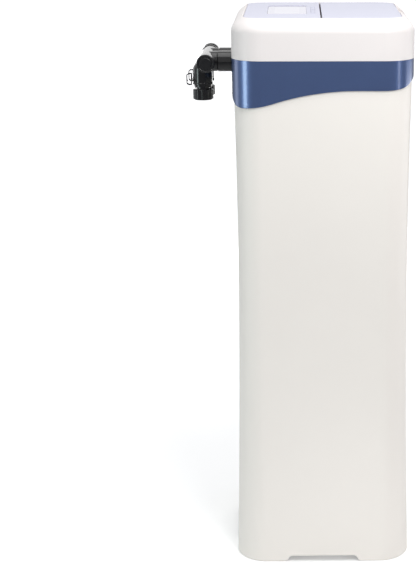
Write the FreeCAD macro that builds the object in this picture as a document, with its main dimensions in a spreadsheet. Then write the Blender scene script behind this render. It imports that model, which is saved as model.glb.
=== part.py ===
import FreeCAD, Part
import math
import os
from types import SimpleNamespace

import Sketcher
from FreeCAD import Placement, Rotation, Vector

# Whole-house activated carbon water filter in a floor-standing cabinet.
# Millimetres, +Z up, front is -Y, the bypass valve is at the rear, +Y.
# The origin is on the floor, at the middle of the cabinet.

SIZES = {
    # cabinet outline, as the cover has it
    "cover_width": 380.0,
    "cover_depth": 360.0,
    "cover_corner": 60.0,
    # cabinet body: how far its sides stand outside (outset) or inside (inset) that outline
    "body_wall": 4.0,
    "base_outset": 4.5,
    "base_bevel": 2.5,
    "lower_height": 345.0,
    "lower_inset": 3.5,
    "waist_drop": 220.0,
    "waist_inset": 6.5,
    "flare_drop": 68.0,
    "floor_height": 22.0,
    "floor_thick": 5.0,
    "foot_rim": 7.0,
    "centre_foot_radius": 45.0,
    "arch_half_width": 84.0,
    "arch_flat_half": 65.0,
    "arch_height": 13.8,
    # decorative band between body and cover
    "band_thick": 3.5,
    "band_flange": 3.3,
    "band_drop": 80.0,
    "wave_high_drop": 57.8,
    "wave_low_drop": 93.0,
    "wave_start": 65.0,
    "wave_radius_high": 540.0,
    "wave_radius_low": 230.0,
    "front_arch_drop": 20.0,
    "front_arch_beyond": 15.0,
    "front_arch_radius_low": 78.0,
    "front_arch_radius_high": 239.0,
    "rear_arch_drop": 60.0,
    "rear_arch_reach": 177.0,
    "rear_arch_radius_low": 40.0,
    "rear_arch_radius_high": 110.0,
    # top cover
    "cover_wall": 3.5,
    "ridge_drop": 28.0,
    "top_height": 1148.0,
    "shoulder_inset": 22.5,
    "shoulder_mid_drop": 11.0,
    "shoulder_mid_inset": 8.0,
    "skirt_drop": 18.0,
    "skirt_thick": 3.0,
    "rim_width": 2.5,
    "ledge_width": 8.0,
    "ledge_thick": 3.0,
    # lid and control panel
    "lid_thick": 3.5,
    "lid_edge_round": 0.8,
    "lid_side_gap": 0.9,
    "split_middle": 3.0,
    "split_gap": 3.0,
    "grip_width": 104.0,
    "grip_reach": 13.0,
    "grip_depth": 9.5,
    "grip_under": 4.0,
    # lid hinge
    "hinge_back": 12.0,
    "hinge_drop": 8.5,
    "hinge_spread": 104.0,
    "hinge_pin_radius": 2.0,
    "knuckle_radius": 4.5,
    "knuckle_width": 8.0,
    "ear_width": 5.0,
    "gutter_front": 40.0,
    "gutter_floor_drop": 28.0,
    "gutter_wall": 3.0,
    "gutter_lip_drop": 14.0,
    # display and buttons
    "window_width": 172.0,
    "window_depth": 78.0,
    "window_corner": 5.0,
    "window_middle": 71.0,
    "window_thick": 1.5,
    "window_recess": 0.8,
    "window_border": 9.0,
    "window_gap": 0.4,
    "button_width": 24.0,
    "button_depth": 9.0,
    "button_corner": 3.5,
    "button_stem": 2.5,
    "button_middle": 18.5,
    "button_pitch": 38.0,
    "button_proud": 0.6,
    "button_gap": 0.3,
    "button_flange": 1.2,
    "button_travel": 0.5,
    "board_width": 164.0,
    "board_front": 9.5,
    "board_rear": 118.0,
    "board_drop": 14.0,
    "board_thick": 1.6,
    "board_post_radius": 3.5,
    "board_post_inset": 6.0,
    "board_screw_radius": 1.3,
    "display_width": 134.0,
    "display_depth": 50.0,
    "switch_side": 6.0,
    "switch_tall": 3.6,
    # rear opening and port plate
    "rear_cut_half": 84.0,
    "rear_cut_drop": 50.0,
    "rear_cut_rise": 8.0,
    "plate_half": 98.0,
    "plate_low_drop": 62.0,
    "plate_high_rise": 16.0,
    "plate_thick": 2.5,
    "plate_screw_in": 6.0,
    "plate_screw_low_drop": 56.0,
    "plate_screw_high_drop": 11.0,
    "plate_screw_long": 6.0,
    # pressure vessel
    "vessel_inside": 152.0,
    "vessel_radius": 128.5,
    "vessel_wall": 4.0,
    "vessel_lift": 24.0,
    "crown_radius": 165.0,
    "knuckle_bend": 55.0,
    "vessel_top_drop": 89.5,
    "dome_to_top": 14.0,
    "neck_radius": 46.0,
    "neck_bore": 36.6,
    "boot_radius": 120.0,
    "boot_wall": 9.0,
    "gravel_tall": 100.0,
    "carbon_drop": 198.0,
    # riser and strainers
    "riser_radius": 13.4,
    "riser_bore": 11.0,
    "strainer_radius": 25.0,
    "strainer_tall": 58.0,
    "strainer_slot": 2.4,
    "strainer_wall": 2.5,
    "strainer_slots": 14,
    "basket_radius": 33.0,
    "basket_tall": 22.0,
    # control valve
    "port_drop": 20.5,
    "port_spread": 28.0,
    "valve_plug_deep": 22.0,
    "collar_radius": 50.0,
    "collar_tall": 14.0,
    "trunk_radius": 38.0,
    "trunk_rise": 24.5,
    "riser_drop": 47.5,
    "annulus_radius": 24.5,
    "annulus_drop": 62.5,
    "riser_seal_drop": 55.5,
    "riser_seal_radius": 1.0,
    "neck_seal_drop": 8.0,
    "chamber_radius": 26.0,
    "chamber_deep": 12.5,
    "port_radius": 17.0,
    "port_bore": 10.0,
    "port_root": 16.0,
    "port_bore_root": 8.0,
    "port_reach": 20.0,
    "port_thread_radius": 19.0,
    "port_thread_long": 15.0,
    "disc_thick": 5.0,
    "disc_clear": 0.5,
    "disc_hole": 4.2,
    "disc_hole_out": 20.0,
    "disc_recess": 3.0,
    "dog_pin_radius": 2.0,
    "dog_pin_out": 14.0,
    "dog_pin_long": 1.5,
    "disc_seal_thick": 2.0,
    "shaft_radius": 7.0,
    "dog_radius": 23.0,
    "dog_thick": 3.0,
    "bonnet_radius": 38.0,
    "bonnet_thick": 11.0,
    "bonnet_recess": 3.2,
    "shaft_seal_rise": 7.0,
    "bonnet_screw_circle": 32.0,
    "bonnet_screws": 6,
    "screw_radius": 2.0,
    "screw_head_radius": 3.6,
    "screw_head_tall": 2.6,
    "screw_long": 22.0,
    # drive
    "gear_module": 1.5,
    "gear_teeth": 62,
    "pinion_teeth": 16,
    "gear_thick": 8.0,
    "gear_backlash": 0.3,
    "drive_plate_thick": 3.0,
    "drive_plate_half": 54.0,
    "drive_plate_corner": 12.0,
    "drive_plate_front": 24.0,
    "motor_radius": 18.0,
    "motor_tall": 22.0,
    "motor_shaft": 3.0,
    "motor_shaft_deep": 10.0,
    "shaft_end": 4.0,
    "shaft_collar": 10.0,
    "drive_cover_wall": 2.0,
    "drive_cover_tall": 24.0,
    # water meter in the outlet port
    "turbine_radius": 9.3,
    "turbine_hub": 3.6,
    "turbine_long": 12.0,
    "turbine_blade": 1.6,
    "turbine_blades": 6,
    "axle_radius": 1.5,
    "cage_thick": 2.5,
    "cage_ring": 1.6,
    "cage_arm": 2.0,
    "turbine_inside": 50.0,
    "sensor_side": 14.0,
    "sensor_tall": 8.0,
    "sensor_rise": 17.5,
    # drain
    "drain_x": 68.0,
    "drain_drop": 7.5,
    "drain_radius": 6.5,
    "drain_bore": 4.5,
    "drain_bend": 16.0,
    "drain_front": 23.0,
    "drain_boss_radius": 9.5,
    "drain_boss_end": 40.0,
    "drain_root": 30.0,
    "drain_past": 3.0,
    "drain_nut_sides": 6,
    "drain_nut_radius": 10.5,
    "drain_nut_thick": 5.0,
    "barbs": 3,
    "barb_rise": 0.9,
    "barb_long": 5.0,
    # power socket
    "socket_x": 68.0,
    "socket_drop": 20.5,
    "socket_radius": 6.0,
    "socket_long": 14.0,
    "socket_rim": 8.0,
    "socket_rim_thick": 1.8,
    # couplings between valve and bypass
    "coupling_radius": 21.0,
    "coupling_over": 16.5,
    "coupling_past": 13.0,
    "coupling_bevel": 1.2,
    "stub_flange_radius": 18.7,
    "stub_flange": 3.5,
    # bypass valve
    "barrel_reach": 34.0,
    "barrel_rise": 3.0,
    "barrel_radius": 17.0,
    "barrel_half": 76.0,
    "barrel_rim_radius": 18.3,
    "barrel_rim_long": 5.0,
    "spool_bore": 11.5,
    "spool_waist": 6.5,
    "spool_groove": 26.0,
    "spool_seal_in": 9.0,
    "spool_seal_out": 48.0,
    "knob_stub_radius": 6.0,
    "knob_stub_long": 8.0,
    "spool_travel": 20.0,
    "knob_radius": 18.3,
    "knob_long": 14.5,
    "knob_ring_radius": 13.0,
    "knob_ring_deep": 1.0,
    "knob_round": 1.6,
    "seal_radius": 1.3,
    # outlets of the bypass
    "outlet_reach": 10.0,
    "outlet_radius": 19.5,
    "outlet_drop": 49.5,
    "outlet_tall": 35.0,
    "outlet_cap": 10.0,
    "outlet_cap_radius": 12.0,
    "outlet_bore": 11.0,
    "outlet_bore_long": 42.0,
    "outlet_socket": 15.0,
    "outlet_socket_long": 25.0,
    "outlet_rim_tall": 4.0,
    "outlet_rim_radius": 20.6,
    # retaining clips
    "clip_rise": 9.0,
    "clip_thick": 3.0,
    "clip_arm": 3.0,
    "clip_leg": 12.0,
    "clip_back": 23.2,
    "clip_loop_up": 14.0,
    "clip_loop_down": 11.0,
    "clip_loop_out": 33.5,
    "clip_loop_corner": 5.5,
    "clip_loop_stroke": 2.4,
    "clip_loop_width": 7.0,
    # adapters and union nuts
    "adapter_groove": 12.8,
    "adapter_groove_half": 2.0,
    "adapter_neck": 13.2,
    "adapter_collar_radius": 18.0,
    "adapter_collar_drop": 4.5,
    "adapter_seal_rise": 17.0,
    "adapter_bore": 10.0,
    "adapter_flange_radius": 16.2,
    "adapter_flange_thick": 3.0,
    "nut_drop": 31.0,
    "nut_tall": 22.0,
    "nut_radius": 20.7,
    "nut_lip": 3.5,
    "nut_thread": 16.6,
    "nut_thread_long": 13.0,
    "nut_relief": 0.4,
    "nut_bevel": 1.2,
    "nut_wall_radius": 19.6,
    "nut_grips": 12,
    "nut_grip_radius": 3.0,
    "gasket_thick": 2.0,
    # clearances
    "fit": 0.05,
    "slip": 0.1,
    "gap": 0.3,
}

BUTTON_NAMES = ("menu_button", "down_button", "up_button", "confirm_button")
PORT_SIDES = {"inlet": 1, "outlet": -1}
WHOLE_TURN = 360.0
QUARTER_TURN = WHOLE_TURN / 4
ROOT_DEPTH = 1.25
PRESSURE_ANGLE = math.radians(20.0)
FLANK_STEPS = 5
FAR = 400.0
OVER = 1.0
TO_X = Rotation(Vector(0, 1, 0), 90)
TO_Y = Rotation(Vector(1, 0, 0), -90)
TO_Z = Rotation()
TO_DOWN = Rotation(Vector(1, 0, 0), 180)

os.makedirs("parts", exist_ok=True)
doc = FreeCAD.newDocument("carbon_filter")
nodes = []


class Size:
    """A number together with the formula, in the sheet's cells, that gives it."""

    def __init__(self, text, number):
        self.text = text
        self.number = float(number)

    def __float__(self):
        return self.number

    def __add__(self, other):
        return joined(self, "+", other, self.number + float(other))

    def __sub__(self, other):
        return joined(self, "-", other, self.number - float(other))

    def __mul__(self, other):
        return joined(self, "*", other, self.number * float(other))

    def __truediv__(self, other):
        return joined(self, "/", other, self.number / float(other))

    def __radd__(self, other):
        return joined(other, "+", self, float(other) + self.number)

    def __rsub__(self, other):
        return joined(other, "-", self, float(other) - self.number)

    def __rmul__(self, other):
        return joined(other, "*", self, float(other) * self.number)

    def __neg__(self):
        return 0 - self


def formula(value):
    """The text of a formula for a Size or a plain number."""
    if isinstance(value, Size):
        return value.text
    return repr(float(value))


def joined(left, sign, right, number):
    """One Size made from two values and the sign between them."""
    return Size(f"({formula(left)} {sign} {formula(right)})", number)


def root(value):
    """The square root of a Size."""
    return Size(f"sqrt({value.text})", math.sqrt(value.number))


def make_sheet():
    """Write every driving dimension to the sheet and return them as Size values."""
    sheet = doc.addObject("Spreadsheet::Sheet", "sizes")
    for row, (name, value) in enumerate(SIZES.items(), 1):
        sheet.set(f"A{row}", name)
        sheet.set(f"B{row}", str(value))
        sheet.setAlias(f"B{row}", name)
    doc.recompute()
    return SimpleNamespace(**{name: Size(f"sizes.{name}", value) for name, value in SIZES.items()})


S = make_sheet()

# Levels that hang from the cabinet's top, and places measured from its rear

S.ridge_height = S.top_height - S.ridge_drop
S.band_top = S.top_height - S.band_drop
S.flare_height = S.band_top - S.flare_drop
S.waist_height = S.flare_height - S.waist_drop
S.wave_high = S.band_top - S.wave_high_drop
S.wave_low = S.band_top - S.wave_low_drop
S.front_arch_high = S.band_top - S.front_arch_drop
S.rear_arch_high = S.band_top - S.rear_arch_drop
S.rear_cut_low = S.band_top - S.rear_cut_drop
S.plate_low = S.band_top - S.plate_low_drop
S.plate_high = S.band_top + S.plate_high_rise
S.plate_screw_low = S.band_top - S.plate_screw_low_drop
S.plate_screw_high = S.band_top - S.plate_screw_high_drop
S.port_height = S.band_top - S.port_drop
S.vessel_top = S.port_height - S.vessel_top_drop
S.gravel_top = S.floor_height + S.vessel_lift + S.gravel_tall
S.carbon_top = S.vessel_top - S.carbon_drop
S.trunk_top = S.port_height + S.trunk_rise
S.riser_top = S.port_height - S.riser_drop
S.annulus_top = S.port_height - S.annulus_drop
S.riser_seal_height = S.port_height - S.riser_seal_drop
S.shaft_seal_height = S.trunk_top + S.shaft_seal_rise
S.sensor_seat = S.port_height + S.sensor_rise
S.drain_z = S.port_height - S.drain_drop
S.socket_z = S.port_height - S.socket_drop
S.barrel_height = S.port_height + S.barrel_rise
S.outlet_low = S.barrel_height - S.outlet_drop
S.outlet_top = S.outlet_low + S.outlet_tall
S.outlet_bore_top = S.outlet_low + S.outlet_bore_long
S.outlet_socket_top = S.outlet_low + S.outlet_socket_long
S.clip_height = S.outlet_low + S.clip_rise
S.adapter_collar_low = S.outlet_low - S.adapter_collar_drop
S.adapter_seal_height = S.outlet_low + S.adapter_seal_rise
S.nut_low = S.outlet_low - S.nut_drop
S.vessel_back = S.cover_depth / 2 - S.vessel_inside
S.port_start = S.vessel_back - S.port_root
S.port_bore_start = S.vessel_back - S.port_bore_root
S.port_end = S.cover_depth / 2 + S.port_reach
S.turbine_at = S.port_end - S.turbine_inside
S.drain_y = S.vessel_back - S.drain_front
S.drain_end = S.port_end + S.drain_past
S.coupling_start = S.port_end - S.coupling_over
S.coupling_end = S.port_end + S.coupling_past
S.barrel_back = S.port_end + S.barrel_reach
S.outlet_back = S.barrel_back + S.outlet_reach


# Placing and primitives

def bind(thing, prop, value):
    """Bind one property to its formula."""
    thing.setExpression(prop, formula(value))


def place(thing, at, turn=TO_Z):
    """Put a thing at a point, turned, with the point's coordinates bound."""
    thing.Placement = Placement(Vector(), turn)
    for axis, value in zip("xyz", at):
        bind(thing, f"Placement.Base.{axis}", value)
    return thing


def block(name, x_span, y_span, z_span):
    """A box between two corners."""
    thing = doc.addObject("Part::Box", name)
    for prop, (low, high) in zip(("Length", "Width", "Height"), (x_span, y_span, z_span)):
        bind(thing, prop, high - low)
    return place(thing, (x_span[0], y_span[0], z_span[0]))


def rod(name, radius, length, at, turn=TO_Z):
    """A cylinder that starts at a point and runs along the turned Z axis."""
    thing = doc.addObject("Part::Cylinder", name)
    bind(thing, "Radius", radius)
    bind(thing, "Height", length)
    return place(thing, at, turn)


def cone(name, radius_start, radius_end, length, at, turn=TO_Z):
    """A cone that starts at a point and runs along the turned Z axis."""
    thing = doc.addObject("Part::Cone", name)
    bind(thing, "Radius1", radius_start)
    bind(thing, "Radius2", radius_end)
    bind(thing, "Height", length)
    return place(thing, at, turn)


def ring(name, middle_radius, wire_radius, at, turn=TO_Z):
    """A torus about the turned Z axis."""
    thing = doc.addObject("Part::Torus", name)
    bind(thing, "Radius1", middle_radius)
    bind(thing, "Radius2", wire_radius)
    return place(thing, at, turn)


def fuse(name, *things):
    """One solid from several."""
    if len(things) == 1:
        return things[0]
    thing = doc.addObject("Part::MultiFuse", name)
    thing.Shapes = list(things)
    return thing


def cut(name, base, *tools):
    """The base without the tools."""
    thing = doc.addObject("Part::Cut", name)
    thing.Base = base
    thing.Tool = fuse(f"{name}_tools", *tools)
    return thing


def common(name, first, second):
    """What two solids share."""
    thing = doc.addObject("Part::Common", name)
    thing.Base = first
    thing.Tool = second
    return thing


def group(name, *things):
    """Several separate solids that are one node."""
    thing = doc.addObject("Part::Compound", name)
    thing.Links = list(things)
    return thing


def tube(name, outer, inner, length, at, turn=TO_Z):
    """A cylinder with a bore right through."""
    shell = rod(f"{name}_outer", outer, length, at, turn)
    bore = rod(f"{name}_bore", inner, length, at, turn)
    return cut(name, shell, bore)


def keep(node, thing):
    """Name a finished sub-part after its node."""
    thing.Label = node
    nodes.append(thing)
    return thing


# Sketches and features

def new_body(name):
    """An empty body."""
    return doc.addObject("PartDesign::Body", name)


def new_sketch(body, name, plane, offset=0.0):
    """A sketch on one of the body's own origin planes, shifted along its normal."""
    sketch = body.newObject("Sketcher::SketchObject", name)
    support = [item for item in body.Origin.OriginFeatures if item.Role == plane][0]
    sketch.AttachmentSupport = [(support, "")]
    sketch.MapMode = "FlatFace"
    bind(sketch, "AttachmentOffset.Base.z", offset)
    return sketch


def arc_of(start, end, radius, side):
    """An arc between two points; side is 1 where it bulges to the right of the way along."""
    chord = end - start
    middle = (start + end) * 0.5
    away = Vector(chord.y, -chord.x, 0).normalize()
    height = math.sqrt(max(radius ** 2 - (chord.Length / 2) ** 2, 0.0))
    centre = middle - away * (height * side)
    angles = [math.atan2(point.y - centre.y, point.x - centre.x) for point in (start, end)]
    if side < 0:
        angles.reverse()
    if angles[1] < angles[0]:
        angles[1] += 2 * math.pi
    return Part.ArcOfCircle(Part.Circle(centre, Vector(0, 0, 1), radius), *angles)


def pin_point(sketch, geometry, end, u, v):
    """Hold one end of a sketch line at bound coordinates."""
    for kind, value, axis in (("DistanceX", u, -2), ("DistanceY", v, -1)):
        if not isinstance(value, Size) and float(value) == 0.0:
            sketch.addConstraint(Sketcher.Constraint("PointOnObject", geometry, end, axis))
            continue
        index = sketch.addConstraint(Sketcher.Constraint(kind, -1, 1, geometry, end, float(value)))
        if isinstance(value, Size):
            sketch.setExpression(f"Constraints[{index}]", value.text)


def draw(sketch, points):
    """A closed outline. A point is (u, v), or (u, v, radius, side) where an arc leads to it."""
    corners = [Vector(float(point[0]), float(point[1]), 0) for point in points]
    ends = []
    for index, point in enumerate(points):
        start, end = corners[index - 1], corners[index]
        if len(point) == 2:
            ends.append((sketch.addGeometry(Part.LineSegment(start, end)), 1, 2))
            continue
        radius, side = point[2:]
        number = sketch.addGeometry(arc_of(start, end, float(radius), side))
        ends.append((number, 1, 2) if side > 0 else (number, 2, 1))
        limit = sketch.addConstraint(Sketcher.Constraint("Radius", number, float(radius)))
        sketch.setExpression(f"Constraints[{limit}]", formula(radius))
    for index, (number, first, last) in enumerate(ends):
        following = ends[(index + 1) % len(ends)]
        sketch.addConstraint(Sketcher.Constraint("Coincident", number, last, following[0], following[1]))
        pin_point(sketch, number, last, *points[index][:2])
    return sketch


def rounded(half_u, half_v, corner, middle_v=0.0):
    """The points of a rectangle with rounded corners, anticlockwise."""
    low, high = middle_v - half_v, middle_v + half_v
    return [
        (half_u - corner, low),
        (half_u, low + corner, corner, 1),
        (half_u, high - corner),
        (half_u - corner, high, corner, 1),
        (corner - half_u, high),
        (-half_u, high - corner, corner, 1),
        (-half_u, low + corner),
        (corner - half_u, low, corner, 1),
    ]


def outline(inset):
    """The cabinet's outline, drawn in by an inset all round."""
    return rounded(S.cover_width / 2 - inset, S.cover_depth / 2 - inset, S.cover_corner - inset)


def circle(sketch, radius, u=0.0, v=0.0):
    """A full circle in a sketch."""
    number = sketch.addGeometry(Part.Circle(Vector(float(u), float(v), 0), Vector(0, 0, 1), float(radius)))
    limit = sketch.addConstraint(Sketcher.Constraint("Radius", number, float(radius)))
    sketch.setExpression(f"Constraints[{limit}]", formula(radius))
    pin_point(sketch, number, 3, u, v)
    return sketch


def rectangle(u_span, v_span):
    """The points of a plain rectangle, anticlockwise."""
    return [(u_span[0], v_span[0]), (u_span[1], v_span[0]), (u_span[1], v_span[1]), (u_span[0], v_span[1])]


def feature(body, kind, name, sketch, length=None, **settings):
    """A feature of a body from one sketch."""
    thing = body.newObject(f"PartDesign::{kind}", name)
    thing.Profile = sketch
    if length is None and kind in ("Pad", "Pocket"):
        thing.Type = "ThroughAll"
    elif length is not None:
        bind(thing, "Length", length)
    for setting, value in settings.items():
        setattr(thing, setting, value)
    return thing


def pad(body, name, points, low, high):
    """A straight solid between two heights."""
    sketch = draw(new_sketch(body, f"{name}_sketch", "XY_Plane", low), points)
    return feature(body, "Pad", name, sketch, high - low)


def pocket_down(body, name, points, high, low):
    """A straight cut from one height down to another."""
    sketch = draw(new_sketch(body, f"{name}_sketch", "XY_Plane", high), points)
    return feature(body, "Pocket", name, sketch, high - low)


def loft(body, kind, name, stations, ruled=False):
    """A loft through outlines of the cabinet, each a height and an inset."""
    sketches = []
    for index, (height, inset) in enumerate(stations):
        sketch = new_sketch(body, f"{name}_{index}", "XY_Plane", height)
        sketches.append(draw(sketch, outline(inset)))
    thing = body.newObject(f"PartDesign::{kind}", name)
    thing.Profile = sketches[0]
    thing.Sections = sketches[1:]
    thing.Ruled = ruled
    return thing


def turned(node, points, at=(0.0, 0.0, 0.0), turn=TO_Z):
    """A body turned about its own Z axis from a half section of radius and height."""
    body = new_body(f"{node}_body")
    sketch = draw(new_sketch(body, f"{node}_section", "XZ_Plane"), points)
    thing = feature(body, "Revolution", f"{node}_turned", sketch)
    thing.ReferenceAxis = (sketch, ["V_Axis"])
    thing.Angle = WHOLE_TURN
    return place(body, at, turn)


def round_edges(body, name, radius, chosen):
    """Round those edges of the body's tip that a test picks."""
    doc.recompute()
    tip = body.Tip
    names = [f"Edge{number}" for number, edge in enumerate(tip.Shape.Edges, 1) if chosen(edge)]
    thing = body.newObject("PartDesign::Fillet", name)
    thing.Base = (tip, names)
    bind(thing, "Radius", radius)
    return thing


def lies_at_height(height):
    """A test for edges that lie wholly at one height."""
    def test(edge):
        box = edge.BoundBox
        return abs(box.ZMin - float(height)) < 1e-4 and abs(box.ZMax - float(height)) < 1e-4
    return test


# Places that several pieces share

NECK_INSET = S.band_thick + S.gap
NECK_INNER = NECK_INSET + S.body_wall
BODY_TOP = S.band_top - S.band_flange
REAR_INSIDE = S.cover_depth / 2 - NECK_INNER
LID_UNDER = S.top_height - S.lid_thick
LID_INSET = S.shoulder_inset + S.rim_width
FRONT_LID_BACK = S.split_middle - S.split_gap / 2
PANEL_FRONT = S.split_middle + S.split_gap / 2
HINGE_Y = -S.hinge_back
HINGE_Z = S.top_height - S.hinge_drop
GUTTER_FLOOR = S.top_height - S.gutter_floor_drop
BOARD_TOP = S.top_height - S.board_drop
BEND_CENTRE = S.vessel_radius - S.knuckle_bend
CROWN_CENTRE = S.crown_radius - S.knuckle_bend
DOME_SHIFT = root(CROWN_CENTRE * CROWN_CENTRE - BEND_CENTRE * BEND_CENTRE)
DOME_TALL = S.crown_radius - DOME_SHIFT
VESSEL_BOTTOM = S.floor_height + S.vessel_lift
SIDE_START = VESSEL_BOTTOM + DOME_TALL
DOME_TOP = S.vessel_top - S.dome_to_top
SIDE_END = DOME_TOP - DOME_TALL
TRUNK_BASE = S.vessel_top + S.collar_tall
CHAMBER_FLOOR = S.trunk_top - S.chamber_deep
FIXED_DISC_LOW = CHAMBER_FLOOR + S.disc_seal_thick
MOVING_DISC_LOW = FIXED_DISC_LOW + S.disc_thick + S.fit
DOG_LOW = MOVING_DISC_LOW + S.disc_thick
BONNET_TOP = S.trunk_top + S.bonnet_thick
DRIVE_PLATE_TOP = BONNET_TOP + S.drive_plate_thick
GEAR_LOW = DRIVE_PLATE_TOP + S.screw_head_tall + S.gap
GEAR_RADIUS = S.gear_module * S.gear_teeth / 2
PINION_RADIUS = S.gear_module * S.pinion_teeth / 2
MOTOR_Y = S.vessel_back - GEAR_RADIUS - PINION_RADIUS
PLATE_BACK = REAR_INSIDE - S.gap
PLATE_FRONT = PLATE_BACK - S.plate_thick
STUB_START = S.port_end + S.gasket_thick
STUB_FLANGE_END = STUB_START + S.stub_flange
NUT_TOP = S.nut_low + S.nut_tall
FLANGE_TOP = NUT_TOP - S.nut_lip - S.fit
FLANGE_LOW = FLANGE_TOP - S.adapter_flange_thick


# Cabinet

def cabinet_body():
    """Moulded tall tub: flared foot, slight waist, straight neck, recessed floor on feet."""
    body = new_body("cabinet_body_solid")
    loft(body, "AdditiveLoft", "base_edge", [
        (0.0, S.base_bevel - S.base_outset),
        (S.base_bevel, -S.base_outset),
    ], True)
    loft(body, "AdditiveLoft", "outside", [
        (S.base_bevel, -S.base_outset),
        (S.lower_height, S.lower_inset),
        (S.waist_height, S.waist_inset),
        (S.flare_height, NECK_INSET),
    ])
    pad(body, "neck", outline(NECK_INSET), S.flare_height, BODY_TOP)
    loft(body, "SubtractiveLoft", "inside", [
        (S.floor_height, S.body_wall - S.base_outset),
        (S.lower_height, S.lower_inset + S.body_wall),
        (S.waist_height, S.waist_inset + S.body_wall),
        (S.flare_height, NECK_INNER),
    ])
    pocket_down(body, "mouth", outline(NECK_INNER), BODY_TOP, S.flare_height)
    floor_under = S.floor_height - S.floor_thick
    underside = draw(new_sketch(body, "underside_sketch", "XY_Plane"), outline(S.foot_rim - S.base_outset))
    feature(body, "Pocket", "underside", underside, floor_under, Reversed=True)
    for plane in ("YZ_Plane", "XZ_Plane"):
        sketch = new_sketch(body, f"arch_{plane}", plane)
        draw(sketch, arch_outline(S.arch_flat_half, S.arch_half_width, S.arch_height + OVER, -OVER))
        feature(body, "Pocket", f"arch_cut_{plane}", sketch, Midplane=True)
    foot = circle(new_sketch(body, "foot_sketch", "XY_Plane"), S.centre_foot_radius)
    feature(body, "Pad", "centre_foot", foot, floor_under)
    rear = new_sketch(body, "rear_cut_sketch", "XZ_Plane")
    draw(rear, rectangle((-S.rear_cut_half, S.rear_cut_half), (S.rear_cut_low, S.band_top)))
    feature(body, "Pocket", "rear_cut", rear)
    for index, (x, z) in enumerate(plate_screw_spots()):
        hole = circle(new_sketch(body, f"neck_hole_{index}", "XZ_Plane"), S.screw_radius + S.fit, x, z)
        feature(body, "Pocket", f"neck_hole_cut_{index}", hole)
    return keep("cabinet_body", body)


def plate_screw_spots():
    """X and height of the four screws that hold the port plate to the neck."""
    half = S.plate_half - S.plate_screw_in
    return [(x, z) for x in (-half, half) for z in (S.plate_screw_low, S.plate_screw_high)]


def arch_outline(flat_half, foot_half, height, below):
    """A low arch with a double curve at each end, for the cut-outs between the feet."""
    run = foot_half - flat_half
    bend = (run * run + height * height) / (4 * height)
    middle = (flat_half + foot_half) / 2
    return [
        (foot_half, below),
        (middle, below + height / 2, bend, -1),
        (flat_half, below + height, bend, 1),
        (-flat_half, below + height),
        (-middle, below + height / 2, bend, 1),
        (-foot_half, below, bend, -1),
    ]


def ogee(low, high, radius_low, radius_high):
    """How far two arcs run in leading from one level line up to another, and where they meet."""
    total = radius_low + radius_high
    cosine = 1 - (high - low) / total
    sine = root(1 - cosine * cosine)
    return total * sine, radius_low * sine, low + radius_low * (1 - cosine)


def arch_below(reach, low, high, radius_low, radius_high):
    """The region under a wide arch that springs from a level line on each side."""
    run, meet, meet_height = ogee(low, high, radius_low, radius_high)
    return [
        (reach, low - OVER),
        (reach, low),
        (reach - meet, meet_height, radius_low, -1),
        (reach - run, high, radius_high, 1),
        (run - reach, high),
        (meet - reach, meet_height, radius_high, 1),
        (-reach, low, radius_low, -1),
        (-reach, low - OVER),
    ]


def decor_band():
    """Coloured band round the neck, with a sweeping lower edge and a flange under the cover."""
    body = new_body("decor_band_solid")
    pad(body, "band_ring", outline(0.0), S.wave_low, S.band_top)
    pocket_down(body, "band_bore", outline(S.band_thick), BODY_TOP, S.wave_low)
    flange_inner = NECK_INNER
    pocket_down(body, "band_mouth", outline(flange_inner), S.band_top, BODY_TOP)
    run, meet, meet_height = ogee(S.wave_low, S.wave_high, S.wave_radius_low, S.wave_radius_high)
    wave = new_sketch(body, "wave_sketch", "YZ_Plane")
    draw(wave, [
        (-S.cover_depth, S.wave_low - OVER),
        (S.cover_depth, S.wave_low - OVER),
        (S.cover_depth, S.wave_low),
        (run - S.wave_start, S.wave_low),
        (run - meet - S.wave_start, meet_height, S.wave_radius_low, -1),
        (-S.wave_start, S.wave_high, S.wave_radius_high, 1),
        (-S.cover_depth, S.wave_high),
    ])
    feature(body, "Pocket", "wave_cut", wave, Midplane=True)
    corner_start = S.cover_depth / 2 - S.cover_corner
    low_arc, beyond = S.front_arch_radius_low, S.front_arch_beyond
    front_low = S.wave_high - low_arc + root(low_arc * low_arc - beyond * beyond)
    front = new_sketch(body, "front_arch_sketch", "XZ_Plane", corner_start)
    draw(front, arch_below(S.cover_width / 2 + beyond, front_low, S.front_arch_high,
                           low_arc, S.front_arch_radius_high))
    feature(body, "Pocket", "front_arch_cut", front, Reversed=True)
    rear = new_sketch(body, "rear_arch_sketch", "XZ_Plane", -corner_start)
    draw(rear, arch_below(S.rear_arch_reach, S.wave_low, S.rear_arch_high,
                          S.rear_arch_radius_low, S.rear_arch_radius_high))
    feature(body, "Pocket", "rear_arch_cut", rear)
    opening = new_sketch(body, "band_opening_sketch", "XZ_Plane")
    draw(opening, rectangle((-S.rear_cut_half, S.rear_cut_half), (S.rear_cut_low, S.band_top + OVER)))
    feature(body, "Pocket", "band_opening", opening)
    return keep("decor_band", body)


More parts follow.
